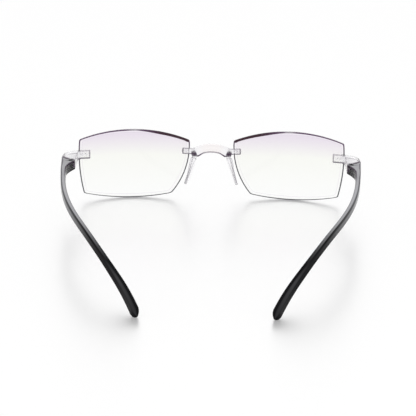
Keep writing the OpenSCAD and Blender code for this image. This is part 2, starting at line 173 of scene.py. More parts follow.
class EYEWEAR_PG_end(bpy.types.PropertyGroup):
    """Sizes of the end pieces and of the hinges."""

    tab_h: size("Tab height", "Height of an end piece's tab", 4.2)
    tab_t: size("Tab thickness", "Thickness of an end piece's tab", 1.8)
    tab_l: size("Tab length", "From the edge of the lens to the inner end of the tab", 5.7)
    up: size("Tab place", "Height of the tab above the middle of the lens", 5)
    reach: size("Reach", "From the edge of the lens out to the side", 6.6)
    corner_r: size("Corner radius", "Radius of the rounded outer corner", 6.5)
    corner_ahead: size("Corner place", "From the hinge axis forward to the middle of that corner", 8.7)
    rounding: size("Rounding", "Rounding of the end piece's edges", 0.4)
    hinge_back: size("Hinge set-back", "From the edge of the lens back to the hinge axis", 16.2)
    hinge_in: size("Hinge inset", "From the side of the glasses in to the hinge axis", 4.8)
    hinge_h: size("Hinge height", "Height of the hinge", 4.4)
    tongue_h: size("Tongue height", "Height of the tongue between the fork's leaves", 1.6)
    eye_r: size("Eye radius", "Radius of the eye round the screw", 2)
    eye_gap: size("Eye gap", "Room round the eye", 0.3)
    slide_gap: size("Slide gap", "Play above and below the tongue", 0.08)
    stop_gap: size("Stop gap", "Gap where the open arm stops", 0.12)
    screw_r: size("Screw radius", "Radius of the hinge screw", 0.6)
    turn_gap: size("Turn gap", "Play between the screw and the tongue", 0.05)
    head_r: size("Screw head radius", "Radius of the screw's head", 1.1)
    head_t: size("Screw head height", "Height of the screw's head", 0.55)
    steel: colour("Screw steel", "Colour of the hinge screws", (0.02, 0.015, 0.022))


class EYEWEAR_PG_temple(bpy.types.PropertyGroup):
    """Sizes and colours of the folding arms."""

    length: size("Length", "Length of an arm behind its hinge block", 124)
    block_l: size("Block length", "Length of the hinge block behind the axis", 11.5)
    block_lean: angle("Block lean", "Inward lean of the block's outer face", 5.4)
    block_t: size("Block thickness", "Thickness of the block where the arm leaves it", 2.4)
    flank_at: angle("Flank", "Angle round the eye at which the block's inner face leaves it", 215)
    flank_l: size("Flank length", "How far ahead of the arm that hollow face falls into line with it", 4)
    thick: size("Thickness", "Thickness of an arm", 2.2)
    root_h: size("Root height", "Height of an arm where it leaves the block", 4)
    height: size("Height", "Height of an arm along its middle", 3.4)
    broad_from: size("Broad from", "Where an arm begins to broaden towards its tip", 86)
    tip_t: size("Tip thickness", "Thickness of the tip", 3.1)
    tip_h: size("Tip height", "Height of the tip", 5.1)
    tip_round: size("Tip rounding", "Length over which the tip rounds off", 3.2)
    rounding: size("Rounding", "Rounding of an arm's edges", 0.5)
    tip_soft: size("Tip softness", "Rounding of the edges at the tip", 1.3)
    toe_start: angle("First heading", "Inward heading of an arm at its block", 5.1)
    toe_turn: angle("Turn", "Further inward turn along the arm", 16.3)
    toe_from: size("Turn from", "Where that turn begins", -5)
    toe_to: size("Turn to", "Where that turn ends", 70)
    ear_drop: angle("Ear drop", "Downward bend over the ear", 24)
    ear_turn: angle("Ear turn", "Inward turn along that bend", 13.9)
    ear_from: size("Ear from", "Where the bend over the ear begins", 62)
    ear_to: size("Ear to", "Where the bend over the ear ends", 102)
    tip_turn: angle("Tip turn", "Outward turn back along the tip", 9.8)
    tip_turn_l: size("Tip turn length", "Length over which the tip turns back", 25)
    lead_in: size("Lead-in", "Length over which an arm takes up its slope", 12)
    smoke: colour("Smoke", "Colour of an arm at its hinge", (0.24, 0.24, 0.25))
    # Painted light: the top of an arm is painted lighter than its sides, as where it catches the light
    top: colour("Smoke on top", "Colour of the top of an arm at its hinge", (0.42, 0.42, 0.44))
    black: colour("Black", "Colour of an arm at its tip", (0.006, 0.006, 0.007))


class EYEWEAR_PG_stage(bpy.types.PropertyGroup):
    """Floor, light and camera."""

    floor: colour("Floor", "Colour of the floor", (0.985, 0.985, 0.985))
    floor_white: share("Floor white", "Share of plain white in the floor as it is seen", 0.36)
    floor_side: size("Floor side", "Side of the square floor", 8000)
    fill: share("Surround", "Light from all round", 0.94)
    lamp_power: FloatProperty(name="Lamp", description="Power of the overhead lamp", default=2.2,
                              unit="POWER")
    lamp_side: size("Lamp side", "Side of the square overhead lamp", 1400)
    lamp_at: place("Lamp place", "Middle of the overhead lamp", (0.1, -0.1, 1.1))
    camera_at: place("Camera place", "Where the camera stands", (0.00556, -0.51754, 0.20622))
    camera_aim: place("Camera aim", "Point in the middle of the picture", (-0.00053, 0.0, 0.0195))
    camera_roll: angle("Camera roll", "Turn of the camera about its own line of sight", 0.78)
    camera_lens: FloatProperty(name="Focal length", default=109.2,
                               description="Focal length in millimetres on a 36 mm sensor")


def settings():
    """All settings of the scene, by group."""
    s = bpy.context.scene
    return SimpleNamespace(lens=s.eyewear_lens, bridge=s.eyewear_bridge, end=s.eyewear_end,
                           temple=s.eyewear_temple, stage=s.eyewear_stage)


# Lens geometry

def sphere_depth(lens, out, up, behind=0.0):
    """How far a surface of the lens lies in front of its own plane: the root of that surface's radius squared
    less both distances squared, less the front radius. The radius is the front one less how far the surface
    lies behind the front."""
    radius = lens.front_r - behind
    return np.sqrt(radius ** 2 - out ** 2 - up ** 2) - lens.front_r


def turned(lens, out, forward, up):
    """A direction of the right lens in the model's frame: turned by the wrap about up, then by the tilt about
    the sideways axis."""
    out, forward, up = np.broadcast_arrays(*(np.asarray(v, float) for v in (out, forward, up)))
    cw, sw, ct, st = math.cos(lens.wrap), math.sin(lens.wrap), math.cos(lens.tilt), math.sin(lens.tilt)
    y = forward * cw - out * sw
    return np.stack([out * cw + forward * sw, y * ct + up * st, up * ct - y * st], axis=-1)


def layout():
    """Places that the pieces share. The lens stands on the ground, the end piece leaves its temporal edge,
    the hinge lies behind that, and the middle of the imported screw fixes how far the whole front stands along
    Y."""
    k = settings()
    lens, bridge, end, temple = k.lens, k.bridge, k.end, k.temple
    half_w, foot = lens.width / 2, -lens.height / 2
    low = turned(lens, lens.bottom_shift, sphere_depth(lens, lens.bottom_shift, foot), foot)
    lens_at = np.array([lens.gap / 2 + half_w * math.cos(lens.wrap), 0, -low[2]])
    nasal_at = lens.nasal_r - half_w - math.sqrt(lens.nasal_r ** 2 - (bridge.up - lens.nasal_rise) ** 2)
    temporal_drop = math.sqrt(lens.temporal_r ** 2 - (end.up - lens.temporal_rise) ** 2)
    temporal_at = half_w - lens.temporal_r + temporal_drop
    end_back = sphere_depth(lens, temporal_at, end.up, lens.thick)
    end_seat = lens_at + turned(lens, temporal_at, end_back, end.up)
    hinge = np.mean(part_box("right_hinge_screw"), axis=0)
    lens_at = lens_at + [0, hinge[1] - (end_seat[1] - end.hinge_back), 0]
    bridge_back = sphere_depth(lens, nasal_at, bridge.up, lens.thick)
    bridge_seat = lens_at + turned(lens, nasal_at, bridge_back, bridge.up)
    side_x = end_seat[0] + end.reach
    post = bridge_seat - [bridge.post_in, bridge.tab_t + bridge.post_back, 0]
    post_low = post[2] - bridge.tab_h / 2 - bridge.post_drop
    block_in = (end.hinge_in + temple.block_l) * math.tan(temple.block_lean)
    root = np.array([side_x - temple.block_t / 2 - block_in, hinge[1] - temple.block_l, hinge[2]])
    return SimpleNamespace(lens_at=lens_at, nasal_at=nasal_at, temporal_at=temporal_at, hinge=hinge,
                           side_x=side_x, post=post, post_low=post_low, root=root)


def on_lens(out, forward, up):
    """A place given outwards, forwards and up of the right lens, in the model's frame."""
    return layout().lens_at + turned(settings().lens, out, forward, up)


# Curves and sections

def smooth(t):
    """Zero below nothing, one above one, and three times the square less twice the cube between."""
    t = np.clip(t, 0, 1)
    return t * t * (3 - 2 * t)


def between(s, start, stop):
    """That smooth step, taken from start to stop."""
    return smooth((s - start) / (stop - start))


def unit(v):
    """Vectors divided by their own lengths."""
    return v / np.linalg.norm(v, axis=-1, keepdims=True)


def hermite(a, a_way, b, b_way, count):
    """The cubic that leaves a along a_way and reaches b along b_way, without its two ends."""
    t = np.linspace(0, 1, count + 2)[1:-1, None]
    return ((2 * t ** 3 - 3 * t ** 2 + 1) * a + (t ** 3 - 2 * t ** 2 + t) * a_way
            + (3 * t ** 2 - 2 * t ** 3) * b + (t ** 3 - t ** 2) * b_way)


CORNER_STEPS = 5
CORNER_EASE = 0.3
FLAT_FAR = 1.4
FLAT_SHARE = 0.25
MOST_ROUND = 0.9


def rounded_sections(half_w, half_h, rounding):
    """Rounded rectangles, one per station: each corner is a quarter circle about a centre that lies the
    rounding in from both sides, with two points on the flat just before and just after it to keep the flats
    flat. Gives the distances across and up, a mark on each corner, and a wider one that takes in the strip
    beside it."""
    half_w, half_h, rounding = (np.asarray(v, float).reshape(-1, 1)
                                for v in np.broadcast_arrays(half_w, half_h, rounding))
    quarter = np.concatenate([[0, 0], np.linspace(0, np.pi / 2, CORNER_STEPS), [np.pi / 2, np.pi / 2]])
    slide = np.concatenate([[-FLAT_FAR, -1], np.zeros(CORNER_STEPS), [1, FLAT_FAR]])
    strip = np.concatenate([[0, 1], np.ones(CORNER_STEPS), [1, 0]])
    arch = np.sin(np.linspace(CORNER_EASE, np.pi - CORNER_EASE, CORNER_STEPS))
    corner = np.concatenate([[0, 0], arch, [0, 0]])
    turn = (quarter + np.arange(4)[:, None] * np.pi / 2).ravel()
    slide, strip, corner = np.tile(slide, 4), np.tile(strip, 4), np.tile(corner, 4)
    sign_w = np.repeat([1, -1, -1, 1], len(quarter))
    sign_h = np.repeat([1, 1, -1, -1], len(quarter))
    least = np.minimum(half_w, half_h)
    r = np.minimum(rounding, MOST_ROUND * least)
    e = FLAT_SHARE * (least - r)
    across = sign_w * (half_w - r) + r * np.cos(turn) - e * slide * np.sin(turn)
    up = sign_h * (half_h - r) + r * np.sin(turn) + e * slide * np.cos(turn)
    return across, up, np.broadcast_to(corner, across.shape), np.broadcast_to(strip, across.shape)


def end_inset(distance, rounding):
    """How far a section draws in that near a rounded end: the rounding less the root of its square less the
    square of what is left to go."""
    left = np.clip(rounding - distance, 0, rounding)
    return rounding - np.sqrt(rounding ** 2 - left ** 2)


def run_along(points):
    """The distance along a broken line at each of its points."""
    return np.concatenate([[0], np.cumsum(np.linalg.norm(np.diff(points, axis=0), axis=1))])


def skin(rings, marks=None, finish=0):
    """A tube through rings of points: each quad joins two neighbours of one ring to the same two of the next,
    and a fan of triangles to its middle closes the first ring and the last. marks gives values to the points,
    and finish gives each band of quads its finish number."""
    stations, count = rings.shape[:2]
    index = np.arange(stations * count).reshape(stations, count)
    beside = np.roll(index, -1, axis=1)
    quads = np.stack([index[:-1], beside[:-1], beside[1:], index[1:]], axis=-1).reshape(-1, 4)
    first = np.full(count, stations * count)
    fans = np.concatenate([np.stack([beside[0], index[0], first], axis=-1),
                           np.stack([index[-1], beside[-1], first + 1], axis=-1)])
    points = np.concatenate([rings.reshape(-1, 3), rings[[0, -1]].mean(axis=1)])
    values = {}
    for name, value in (marks or {}).items():
        value = np.broadcast_to(value, (stations, count))
        values[name] = np.concatenate([value.ravel(), value[[0, -1]].mean(axis=1)])
    bands = np.broadcast_to(finish, stations - 1)
    numbers = np.repeat(np.concatenate([bands, bands[[0, -1]]]), count)
    return SimpleNamespace(points=points, quads=quads, fans=fans, marks=values, finish=numbers)


ROD_SIDES = 40


def turned_rod(heights, radii, middle, marks=None, sides=ROD_SIDES):
    """A round bar about an upright line: its radius at each height, carried once round."""
    around = np.linspace(0, 2 * np.pi, sides, endpoint=False)
    heights, radii = np.asarray(heights, float)[:, None], np.asarray(radii, float)[:, None]
    x, y = middle[0] + radii * np.cos(around), middle[1] + radii * np.sin(around)
    return skin(np.stack([x, y, np.broadcast_to(heights, x.shape)], axis=-1), marks)


# Meshes

def six_volumes(points, shape):
    """Six times the volume inside: the sum over all triangles of the triple product of their corners."""
    triangles = np.concatenate([shape.quads[:, [0, 1, 2]], shape.quads[:, [0, 2, 3]], shape.fans])
    a, b, c = points[triangles].swapaxes(0, 1)
    return np.einsum("ij,ij->", a, np.cross(b, c))


def mesh_of(name, shapes, side=1.0):
    """One mesh of several closed surfaces, mirrored for the left side, each with its faces pointing
    outwards."""
    points, faces, start = [], [], 0
    marks = {mark: [] for mark in sorted({mark for shape in shapes for mark in shape.marks})}
    for shape in shapes:
        placed = shape.points * [side, 1, 1]
        step = -1 if six_volumes(placed - placed.mean(axis=0), shape) < 0 else 1
        for corners in (shape.quads, shape.fans):
            faces += (start + corners[:, ::step]).tolist()
        for mark, values in marks.items():
            values.append(shape.marks.get(mark, np.zeros(len(placed))))
        points.append(placed)
        start += len(placed)
    mesh = bpy.data.meshes.new(name)
    mesh.from_pydata(np.concatenate(points).tolist(), [], faces)
    for mark, values in marks.items():
        layer = mesh.attributes.new(mark, "FLOAT", "POINT")
        layer.data.foreach_set("value", np.concatenate(values).astype(np.float32))
    finish = np.concatenate([shape.finish for shape in shapes])
    mesh.polygons.foreach_set("material_index", finish.astype(np.int32))
    mesh.update()
    return mesh


SHARP = math.radians(32)


def shade(mesh):
    """Smooth shading that breaks at sharp edges."""
    mesh.polygons.foreach_set("use_smooth", np.ones(len(mesh.polygons), bool))
    mesh.set_sharp_from_angle(angle=SHARP)
    mesh.update()


def carve(obj, shapes, side, operation="DIFFERENCE"):
    """Cuts closed surfaces out of an object, or joins them to it, and keeps the result as its mesh."""
    tool = bpy.data.objects.new("carving", mesh_of("carving", shapes, side))
    bpy.context.scene.collection.objects.link(tool)
    step = obj.modifiers.new("carve", "BOOLEAN")
    step.operation, step.solver, step.object = operation, "EXACT", tool
    bpy.context.view_layer.update()
    done = bpy.data.meshes.new_from_object(obj.evaluated_get(bpy.context.evaluated_depsgraph_get()))
    obj.modifiers.clear()
    old, obj.data = obj.data, done
    bpy.data.meshes.remove(old)
    done.name = obj.name
    bpy.data.meshes.remove(tool.data)


def paint(obj, mark, share_at):
    """Raises a mark of a finished mesh to a share that depends on each point's place, taken on the right
    side."""
    points = np.empty(len(obj.data.vertices) * 3)
    obj.data.vertices.foreach_get("co", points)
    x, y, z = points.reshape(-1, 3).T
    layer = obj.data.attributes.get(mark) or obj.data.attributes.new(mark, "FLOAT", "POINT")
    value = np.empty(len(x))
    layer.data.foreach_get("value", value)
    layer.data.foreach_set("value", np.maximum(value, share_at(np.abs(x), y, z)).astype(np.float32))


def piece(name, shapes, side, materials):
    """A new object at the origin that holds the surfaces, with its finishes in order."""
    obj = bpy.data.objects.new(name, mesh_of(name, shapes, side))
    bpy.context.scene.collection.objects.link(obj)
    for material in materials:
        obj.data.materials.append(material)
    return obj


def settle(obj, body, slot, *nodes):
    """Shades a finished piece and says which body it rides on and the nodes that it stands for; slot, the name
    of its finish, is not used. Clear pieces let the light pass."""
    shade(obj.data)
    obj.visible_shadow = body != FRONT
    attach(obj, body)
    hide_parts(*nodes)
    return obj


# Materials

def new_material(name, **values):
    """A material with one shader, whose plain values are set on its own sockets."""
    material = bpy.data.materials.new(name)
    material.use_nodes = True
    tree = material.node_tree
    shader = tree.nodes["Principled BSDF"]
    for key, value in values.items():
        shader.inputs[key.replace("_", " ")].default_value = value
    return material, tree, shader


def wire(tree, value, socket):
    """Links a socket, or sets a plain value."""
    if isinstance(value, bpy.types.NodeSocket):
        tree.links.new(value, socket)
    elif hasattr(value, "__len__") and len(value) == 3 and socket.type == "RGBA":
        socket.default_value = (*value, 1)
    else:
        socket.default_value = value


def add_node(tree, kind, values, output=0, **fields):
    """A shader node with its fields set and its inputs given values or links. Gives one output socket."""
    node = tree.nodes.new("ShaderNode" + kind)
    for field, value in fields.items():
        setattr(node, field, value)
    for socket, value in values.items():
        wire(tree, value, node.inputs[socket])
    return node.outputs[output]


def mark_of(tree, name):
    """The share of a point mark, as a socket."""
    return add_node(tree, "Attribute", {}, "Fac", attribute_name=name)


def object_place(tree):
    """The place on the piece, in metres, as a socket."""
    return add_node(tree, "TexCoord", {}, "Object")


def height_on(tree):
    """The height above the ground, as a socket."""
    return add_node(tree, "SeparateXYZ", {0: object_place(tree)}, "Z")


def mixed(tree, factor, a, b):
    """A colour part of the way from a to b."""
    return add_node(tree, "Mix", {"Factor": factor, 6: a, 7: b}, 2, data_type="RGBA")


def maths(tree, operation, a, b):
    """Two numbers put together."""
    return add_node(tree, "Math", {0: a, 1: b}, operation=operation)


def ranged(tree, value, low, high, to_low=0.0, to_high=1.0):
    """A number carried from one range to another along a smooth step."""
    values = dict(enumerate((value, low, high, to_low, to_high)))
    return add_node(tree, "MapRange", values, interpolation_type="SMOOTHSTEP")


def ramp(tree, factor, stops):
    """A colour that runs through stops along a factor."""
    node = tree.nodes.new("ShaderNodeValToRGB")
    elements = node.color_ramp.elements
    while len(elements) < len(stops):
        elements.new(1)
    for element, (at, rgb) in zip(elements, stops):
        element.position, element.color = at, (*rgb, 1)
    wire(tree, factor, node.inputs[0])
    return node.outputs[0]


def grain(tree, scale):
    """Fine cloudy grain in metres, as a socket from nothing to one."""
    return add_node(tree, "TexNoise", {"Vector": object_place(tree), "Scale": scale})


BUMP_DEPTH = 0.05 * MM
GRAIN_LOW = 0.3
GRAIN_HIGH = 0.7


def dress(tree, shader, tone, rough, clear=None, bump=None):
    """Gives a shader its colour and a gloss that wanders between two values with a grain and, where they are
    given, how clear it is and a fine moulded surface, raised by a grain. Grains are given by their scale."""
    scale, low, high = rough
    wire(tree, tone, shader.inputs["Base Color"])
    gloss = ranged(tree, grain(tree, scale), GRAIN_LOW, GRAIN_HIGH, low, high)
    wire(tree, gloss, shader.inputs["Roughness"])
    if clear is not None:
        wire(tree, clear, shader.inputs["Transmission Weight"])
    if bump:
        relief = {"Height": grain(tree, bump[0]), "Strength": bump[1], "Distance": BUMP_DEPTH}
        wire(tree, add_node(tree, "Bump", relief), shader.inputs["Normal"])


def lens_finishes():
    """Two finishes: the clear lens, with a tint that fades downwards, pales on the facet and darkens along its
    crease, and the polished edge, dark with painted shade along its line and in the cut, and clear elsewhere."""
    lens = settings().lens
    face, tree, shader = new_material("lens_tint", Transmission_Weight=1.0, IOR=1.5,
                                      Specular_Tint=(0.15, 0.15, 0.15, 1))
    up = maths(tree, "DIVIDE", height_on(tree), lens.height)
    tint = ramp(tree, up, [(0.08, lens.tint_low), (0.62, lens.tint_middle), (0.92, lens.tint_high)])
    pale = mixed(tree, maths(tree, "MULTIPLY", mark_of(tree, "facet"), 0.6), tint, (0.985, 0.985, 0.99))
    lined = mixed(tree, maths(tree, "MULTIPLY", mark_of(tree, "crease"), 0.6), pale, lens.crease)
    dress(tree, shader, lined, (90, 0.005, 0.02))

    rim, tree, shader = new_material("lens_polished_edge", IOR=1.5, Specular_IOR_Level=0.12)
    up = maths(tree, "DIVIDE", height_on(tree), lens.height)
    # Painted shade on the polished edge: dark colours by height, darker in the cut, laid on and made less
    # clear along the line mark
    edge = ramp(tree, up, [(0.0, lens.rim_low), (0.5, lens.rim_low), (0.9, lens.rim_high)])
    dark = mixed(tree, mark_of(tree, "cut"), edge, lens.rim_cut)
    worn = mixed(tree, maths(tree, "MULTIPLY", grain(tree, 700), 0.03), dark, (0.6, 0.58, 0.62))
    line = mark_of(tree, "line")
    drawn = mixed(tree, ranged(tree, line, 0.0, 0.7), (0.8, 0.78, 0.82), worn)
    dress(tree, shader, drawn, (1500, 0.1, 0.22), ranged(tree, line, 0.0, 1.0, 0.9, 0.0))
    return face, rim


def clear_moulded_plastic():
    """Clear moulded plastic with a blush in the bar, which painted shade turns dark and less clear along its
    marked edges and wholly dark and solid at its joints."""
    bridge = settings().bridge
    material, tree, shader = new_material("clear_moulded_plastic", IOR=1.3)
    # The edge and joint marks carry painted shade
    line, joint = mark_of(tree, "edge"), mark_of(tree, "joint")
    clear = mixed(tree, mark_of(tree, "blush"), bridge.clear, bridge.blush)
    deep = mixed(tree, joint, mixed(tree, line, clear, bridge.edge), bridge.joint)
    solid = maths(tree, "MAXIMUM", maths(tree, "MULTIPLY", line, 0.6), joint)
    dress(tree, shader, deep, (260, 0.01, 0.05), ranged(tree, solid, 0.0, 1.0, 1.0, 0.0), (420, 0.06))
    return material


def clear_fixing_plastic():
    """Clear plastic of the rivets and sleeves, which bends light so little that they hardly show in the
    tabs."""
    material, tree, shader = new_material("clear_fixing_plastic", Transmission_Weight=1.0, IOR=1.06,
                                          Specular_IOR_Level=0.1)
    tone = mixed(tree, grain(tree, 1800), (0.97, 0.97, 0.975), (0.94, 0.94, 0.95))
    dress(tree, shader, tone, (900, 0.02, 0.06))
    return material


def smoke_plastic_arm():
    """Smoky plastic: translucent grey at the hinge, glossy black from the middle on, with painted light that
    makes it lighter on top, and a painted line along the ridge that is dark on the grey and a faint painted
    highlight on the black. Painted shade makes the block's inner face and its joints dark."""
    temple = settings().temple
    material, tree, shader = new_material("smoke_plastic_arm", IOR=1.46, Specular_IOR_Level=0.02)
    along = mark_of(tree, "along")
    body = ramp(tree, along, [
        (0.0, temple.smoke), (0.26, temple.smoke), (0.4, (0.17, 0.17, 0.178)), (0.53, (0.11, 0.11, 0.115)),
        (0.61, (0.05, 0.05, 0.052)), (0.68, (0.016, 0.016, 0.017)), (0.76, temple.black)])
    # Painted light: lighter colours for the top face
    upper = ramp(tree, along, [
        (0.0, temple.top), (0.26, temple.top), (0.53, (0.32, 0.32, 0.335)), (0.61, (0.23, 0.23, 0.24)),
        (0.67, (0.14, 0.14, 0.147)), (0.73, (0.05, 0.05, 0.052)), (0.79, temple.black)])
    # Painted line along the ridge: dark on the grey, a faint painted highlight on the black
    line = ramp(tree, along, [
        (0.0, (0.15, 0.14, 0.16)), (0.26, (0.14, 0.14, 0.15)), (0.4, (0.08, 0.08, 0.084)),
        (0.53, (0.04, 0.04, 0.042)), (0.67, (0.005, 0.005, 0.005)), (0.77, (0.012, 0.012, 0.013)),
        (0.86, (0.05, 0.05, 0.053)), (1.0, (0.03, 0.03, 0.032))])
    lit = mixed(tree, mark_of(tree, "top"), body, upper)
    ridged = mixed(tree, mark_of(tree, "ridge"), lit, line)
    # Painted shade on the block's inner face
    shaded = mixed(tree, mark_of(tree, "inner"), ridged, (0.014, 0.013, 0.016))
    # Painted shade along the block's inner upper edge, where the arm meets the end piece
    joined = mixed(tree, mark_of(tree, "joint"), shaded, (0.03, 0.012, 0.035))
    dress(tree, shader, joined, (320, 0.1, 0.2), ranged(tree, along, 0.05, 0.4, 0.25, 0.0), (500, 0.05))
    return material


def blackened_steel():
    """Blackened steel with a fine grain in its colour and its gloss."""
    material, tree, shader = new_material("blackened_steel", Metallic=1.0, Specular_Tint=(0.2, 0.2, 0.2, 1))
    tone = mixed(tree, grain(tree, 2600), settings().end.steel, (0.05, 0.045, 0.055))
    dress(tree, shader, tone, (3200, 0.22, 0.4))
    return material


def finish_of(maker):
    """A finish made once and shared, kept under its maker's name."""
    return bpy.data.materials.get(maker.__name__) or maker()


# Pieces

def pair(kind, shapes, *finishes):
    """Both pieces of a kind: gives the name and the sign of each side, and the new object."""
    for name, side in SIDES.items():
        yield name, side, piece(f"{kind}.{name}", shapes, side, finishes)


FACE, RIM = 0, 1
LENS_COLUMNS = 600
LENS_RINGS = 12
LENS_CORE = 0.04
CORNER_POWER = 90
CREASE_W = 0.22 * MM
TAB_EASE = 0.25 * MM
SPOT_OFF = 0.3 * MM
SPOT_W = 0.4 * MM
SPOT_DARK = 0.8
FADE_W = 5 * MM
FADE_SHARE = 0.6
TOP_NEAR = 1.03
TOP_EASE = 0.02
CUT_EASE = 0.3
CUT_DEPTH = 1.2
FOOT_FROM = 0.3
FOOT_TO = 0.42


def lens_outline(around):
    """Distance from the middle of the lens to its edge: the nearest of the four edge circles along each ray,
    taken as a high power mean, which rounds the corners a little. Also gives how many times further off the
    top circle is."""
    lens = settings().lens
    out, up, r = (np.array(v)[:, None] for v in (
        [0, lens.bottom_shift, lens.nasal_r - lens.width / 2, lens.width / 2 - lens.temporal_r],
        [lens.height / 2 - lens.top_r, lens.bottom_r - lens.height / 2, lens.nasal_rise, lens.temporal_rise],
        [lens.top_r, lens.bottom_r, lens.nasal_r, lens.temporal_r]))
    towards = out * np.cos(around) + up * np.sin(around)
    rays = towards + np.sqrt(towards ** 2 - out ** 2 - up ** 2 + r ** 2)
    nearest = rays.min(axis=0)
    rim = nearest * ((rays / nearest) ** -CORNER_POWER).sum(axis=0) ** (-1 / CORNER_POWER)
    return rim, rays[0] / nearest


def lens_shape():
    """The right lens: rings that grow from the middle of the front to a facet, cross the edge and shrink over
    the back. Each ring is a share of the outline or lies a set distance inside it, on the front sphere, the
    facet, the edge, the back cut or the back sphere. Painted shade makes the cut along the nasal half of the
    top dark, and lies in spots beside the tabs. The painted shade of the line along the back edge fades in the
    middle of the top, takes in the whole edge at the foot, and stops where a tab covers it."""
    k = settings()
    lens = k.lens
    around = np.linspace(0, 2 * np.pi, LENS_COLUMNS, endpoint=False)
    rim, off_top = lens_outline(around)
    out, up = rim * np.cos(around), rim * np.sin(around)
    on_top = smooth((TOP_NEAR - off_top) / TOP_EASE) * (up > 0)
    nasal_top = smooth(-out / (CUT_EASE * lens.width)) * on_top
    # The half without the tab counts as a metre away from it
    beside = np.minimum(np.abs(up - k.end.up) - k.end.tab_h / 2 + (out < 0),
                        np.abs(up - k.bridge.up) - k.bridge.tab_h / 2 + (out > 0))
    cover = 1 - between(beside, -TAB_EASE, 0.0)
    # Painted shade in a spot just beside each tab, where the tab meets the lens edge
    shade_beside_tab = np.exp(-((beside - SPOT_OFF) / SPOT_W) ** 2)
    cut = np.maximum(nasal_top, SPOT_DARK * shade_beside_tab)
    # How much of the edge line's painted shade shows: less in the middle of the top
    shown = 1 - FADE_SHARE * on_top * np.exp(-(out / FADE_W) ** 2)
    under = between(-up / lens.height, FOOT_FROM, FOOT_TO)
    rings, bands, marks = [], [], {"facet": [], "crease": [], "cut": [], "line": []}

    def sit(radius, behind=0.0):
        """Depth of a ring on the front, or on the surface that lies so far behind it."""
        return sphere_depth(lens, radius * np.cos(around), radius * np.sin(around), behind)

    def add(radius, depth, finish=FACE, facet=0.0, crease=0.0, dark=0.0, line=0.0):
        """One more ring, the finish of the band that it begins, and its marks."""
        rings.append(on_lens(radius * np.cos(around), depth, radius * np.sin(around)))
        bands.append(finish)
        # Painted shade along the edge: the line where it shows, and the cut, both left off under a tab
        drawn = np.maximum(line * shown, dark) * (1 - cover)
        for name, value in (("facet", facet), ("crease", crease), ("cut", dark), ("line", drawn)):
            marks[name].append(np.broadcast_to(value, around.shape))

    inner = rim - lens.facet
    for part in np.linspace(LENS_CORE, 1, LENS_RINGS)[:-1]:
        add(part * inner, sit(part * inner))
    add(inner - CREASE_W, sit(inner - CREASE_W))
    add(inner, sit(inner), facet=0.5, crease=1.0)
    low = sit(rim) - lens.facet_drop
    for part in (CREASE_W / lens.facet, 0.4, 0.8, 1.0):
        add(inner + part * lens.facet, sit(inner) + part * (low - sit(inner)), facet=1.0)
    high = sit(rim, lens.thick) + lens.chamfer * (1 + CUT_DEPTH * cut)
    for part in (0.0, 0.5, 1.0):
        add(rim, low + part * (high - low), RIM, facet=1.0, dark=cut, line=np.maximum(part ** 2, under))
    edge = rim - (lens.chamfer + lens.cut * nasal_top)
    add(edge, sit(edge, lens.thick), RIM, dark=cut, line=1.0)
    for part in np.linspace(1, LENS_CORE, LENS_RINGS):
        add(part * edge, sit(part * edge, lens.thick))
    return skin(np.array(rings), {name: np.array(rows) for name, rows in marks.items()}, bands[:-1])


class EYEWEAR_OT_lenses(bpy.types.Operator):
    """Cuts both lenses, with their facets and top cuts, the cuts dark with painted shade."""

    bl_idname = "eyewear.lenses"
    bl_label = "Lenses"

    def execute(self, context):
        for name, _, obj in pair("lens", [lens_shape()], *lens_finishes()):
            settle(obj, FRONT, "tinted_lens", f"{name}_lens")
        return {"FINISHED"}


BAR_STEPS = 22
BAR_SHARE = 0.78
JOIN_STEPS = 16
TAB_STEPS = 10
END_STEPS = 5
TAB_START = 0.1 * MM


def bridge_path():
    """The bridge from the middle to the right tab's end: an arc through both posts, a cubic from the arc to
    the back of the lens, and a run along the lens's back. Gives the points, the way to the back there and how
    much each is tab."""
    k, at = settings(), layout()
    bridge, lens = k.bridge, k.lens
    bar_r = (at.post[0] ** 2 + bridge.rise ** 2) / (2 * bridge.rise)
    turn = np.linspace(0, BAR_SHARE * math.asin(at.post[0] / bar_r), BAR_STEPS)
    arc = np.stack([bar_r * np.sin(turn), np.full(BAR_STEPS, at.post[1]),
                    at.post[2] + bridge.rise - bar_r + bar_r * np.cos(turn)], axis=-1)
    out = at.nasal_at + np.concatenate([
        np.linspace(TAB_START, bridge.tab_l - bridge.tab_round, TAB_STEPS),
        bridge.tab_l - bridge.tab_round * (1 - np.linspace(0.2, 1, END_STEPS) ** 0.5)])
    sit = sphere_depth(lens, out, bridge.up, lens.thick) - bridge.seat_gap - bridge.tab_t / 2
    run = on_lens(out, sit, bridge.up)
    reach = np.linalg.norm(run[0] - arc[-1])
    leave, arrive = unit(arc[-1] - arc[-2]) * reach, unit(run[1] - run[0]) * reach
    join = hermite(arc[-1], leave, run[0], arrive, JOIN_STEPS)
    path = np.concatenate([arc, join, run])
    joining = smooth(np.linspace(0, 1, JOIN_STEPS + 2)[1:-1])
    tab = np.concatenate([np.zeros(BAR_STEPS), joining, np.ones(len(run))])
    back = unit((1 - tab)[:, None] * np.array([0, -1, 0]) + tab[:, None] * turned(lens, 0, -1, 0))
    return path, back, tab


COLLAR_NEAR = 1.3 * MM
COLLAR_FAR = 1.7 * MM
WEB_FROM = 0.55
LEVEL_FROM = 0.98


def tab_line(up, half_h, strip, dark, flat_dark):
    """The painted shade of a tab's outline: the strips along its edges and, less strongly, its level faces."""
    return np.maximum(strip * dark, (np.abs(up) > LEVEL_FROM * half_h[:, None]) * flat_dark)


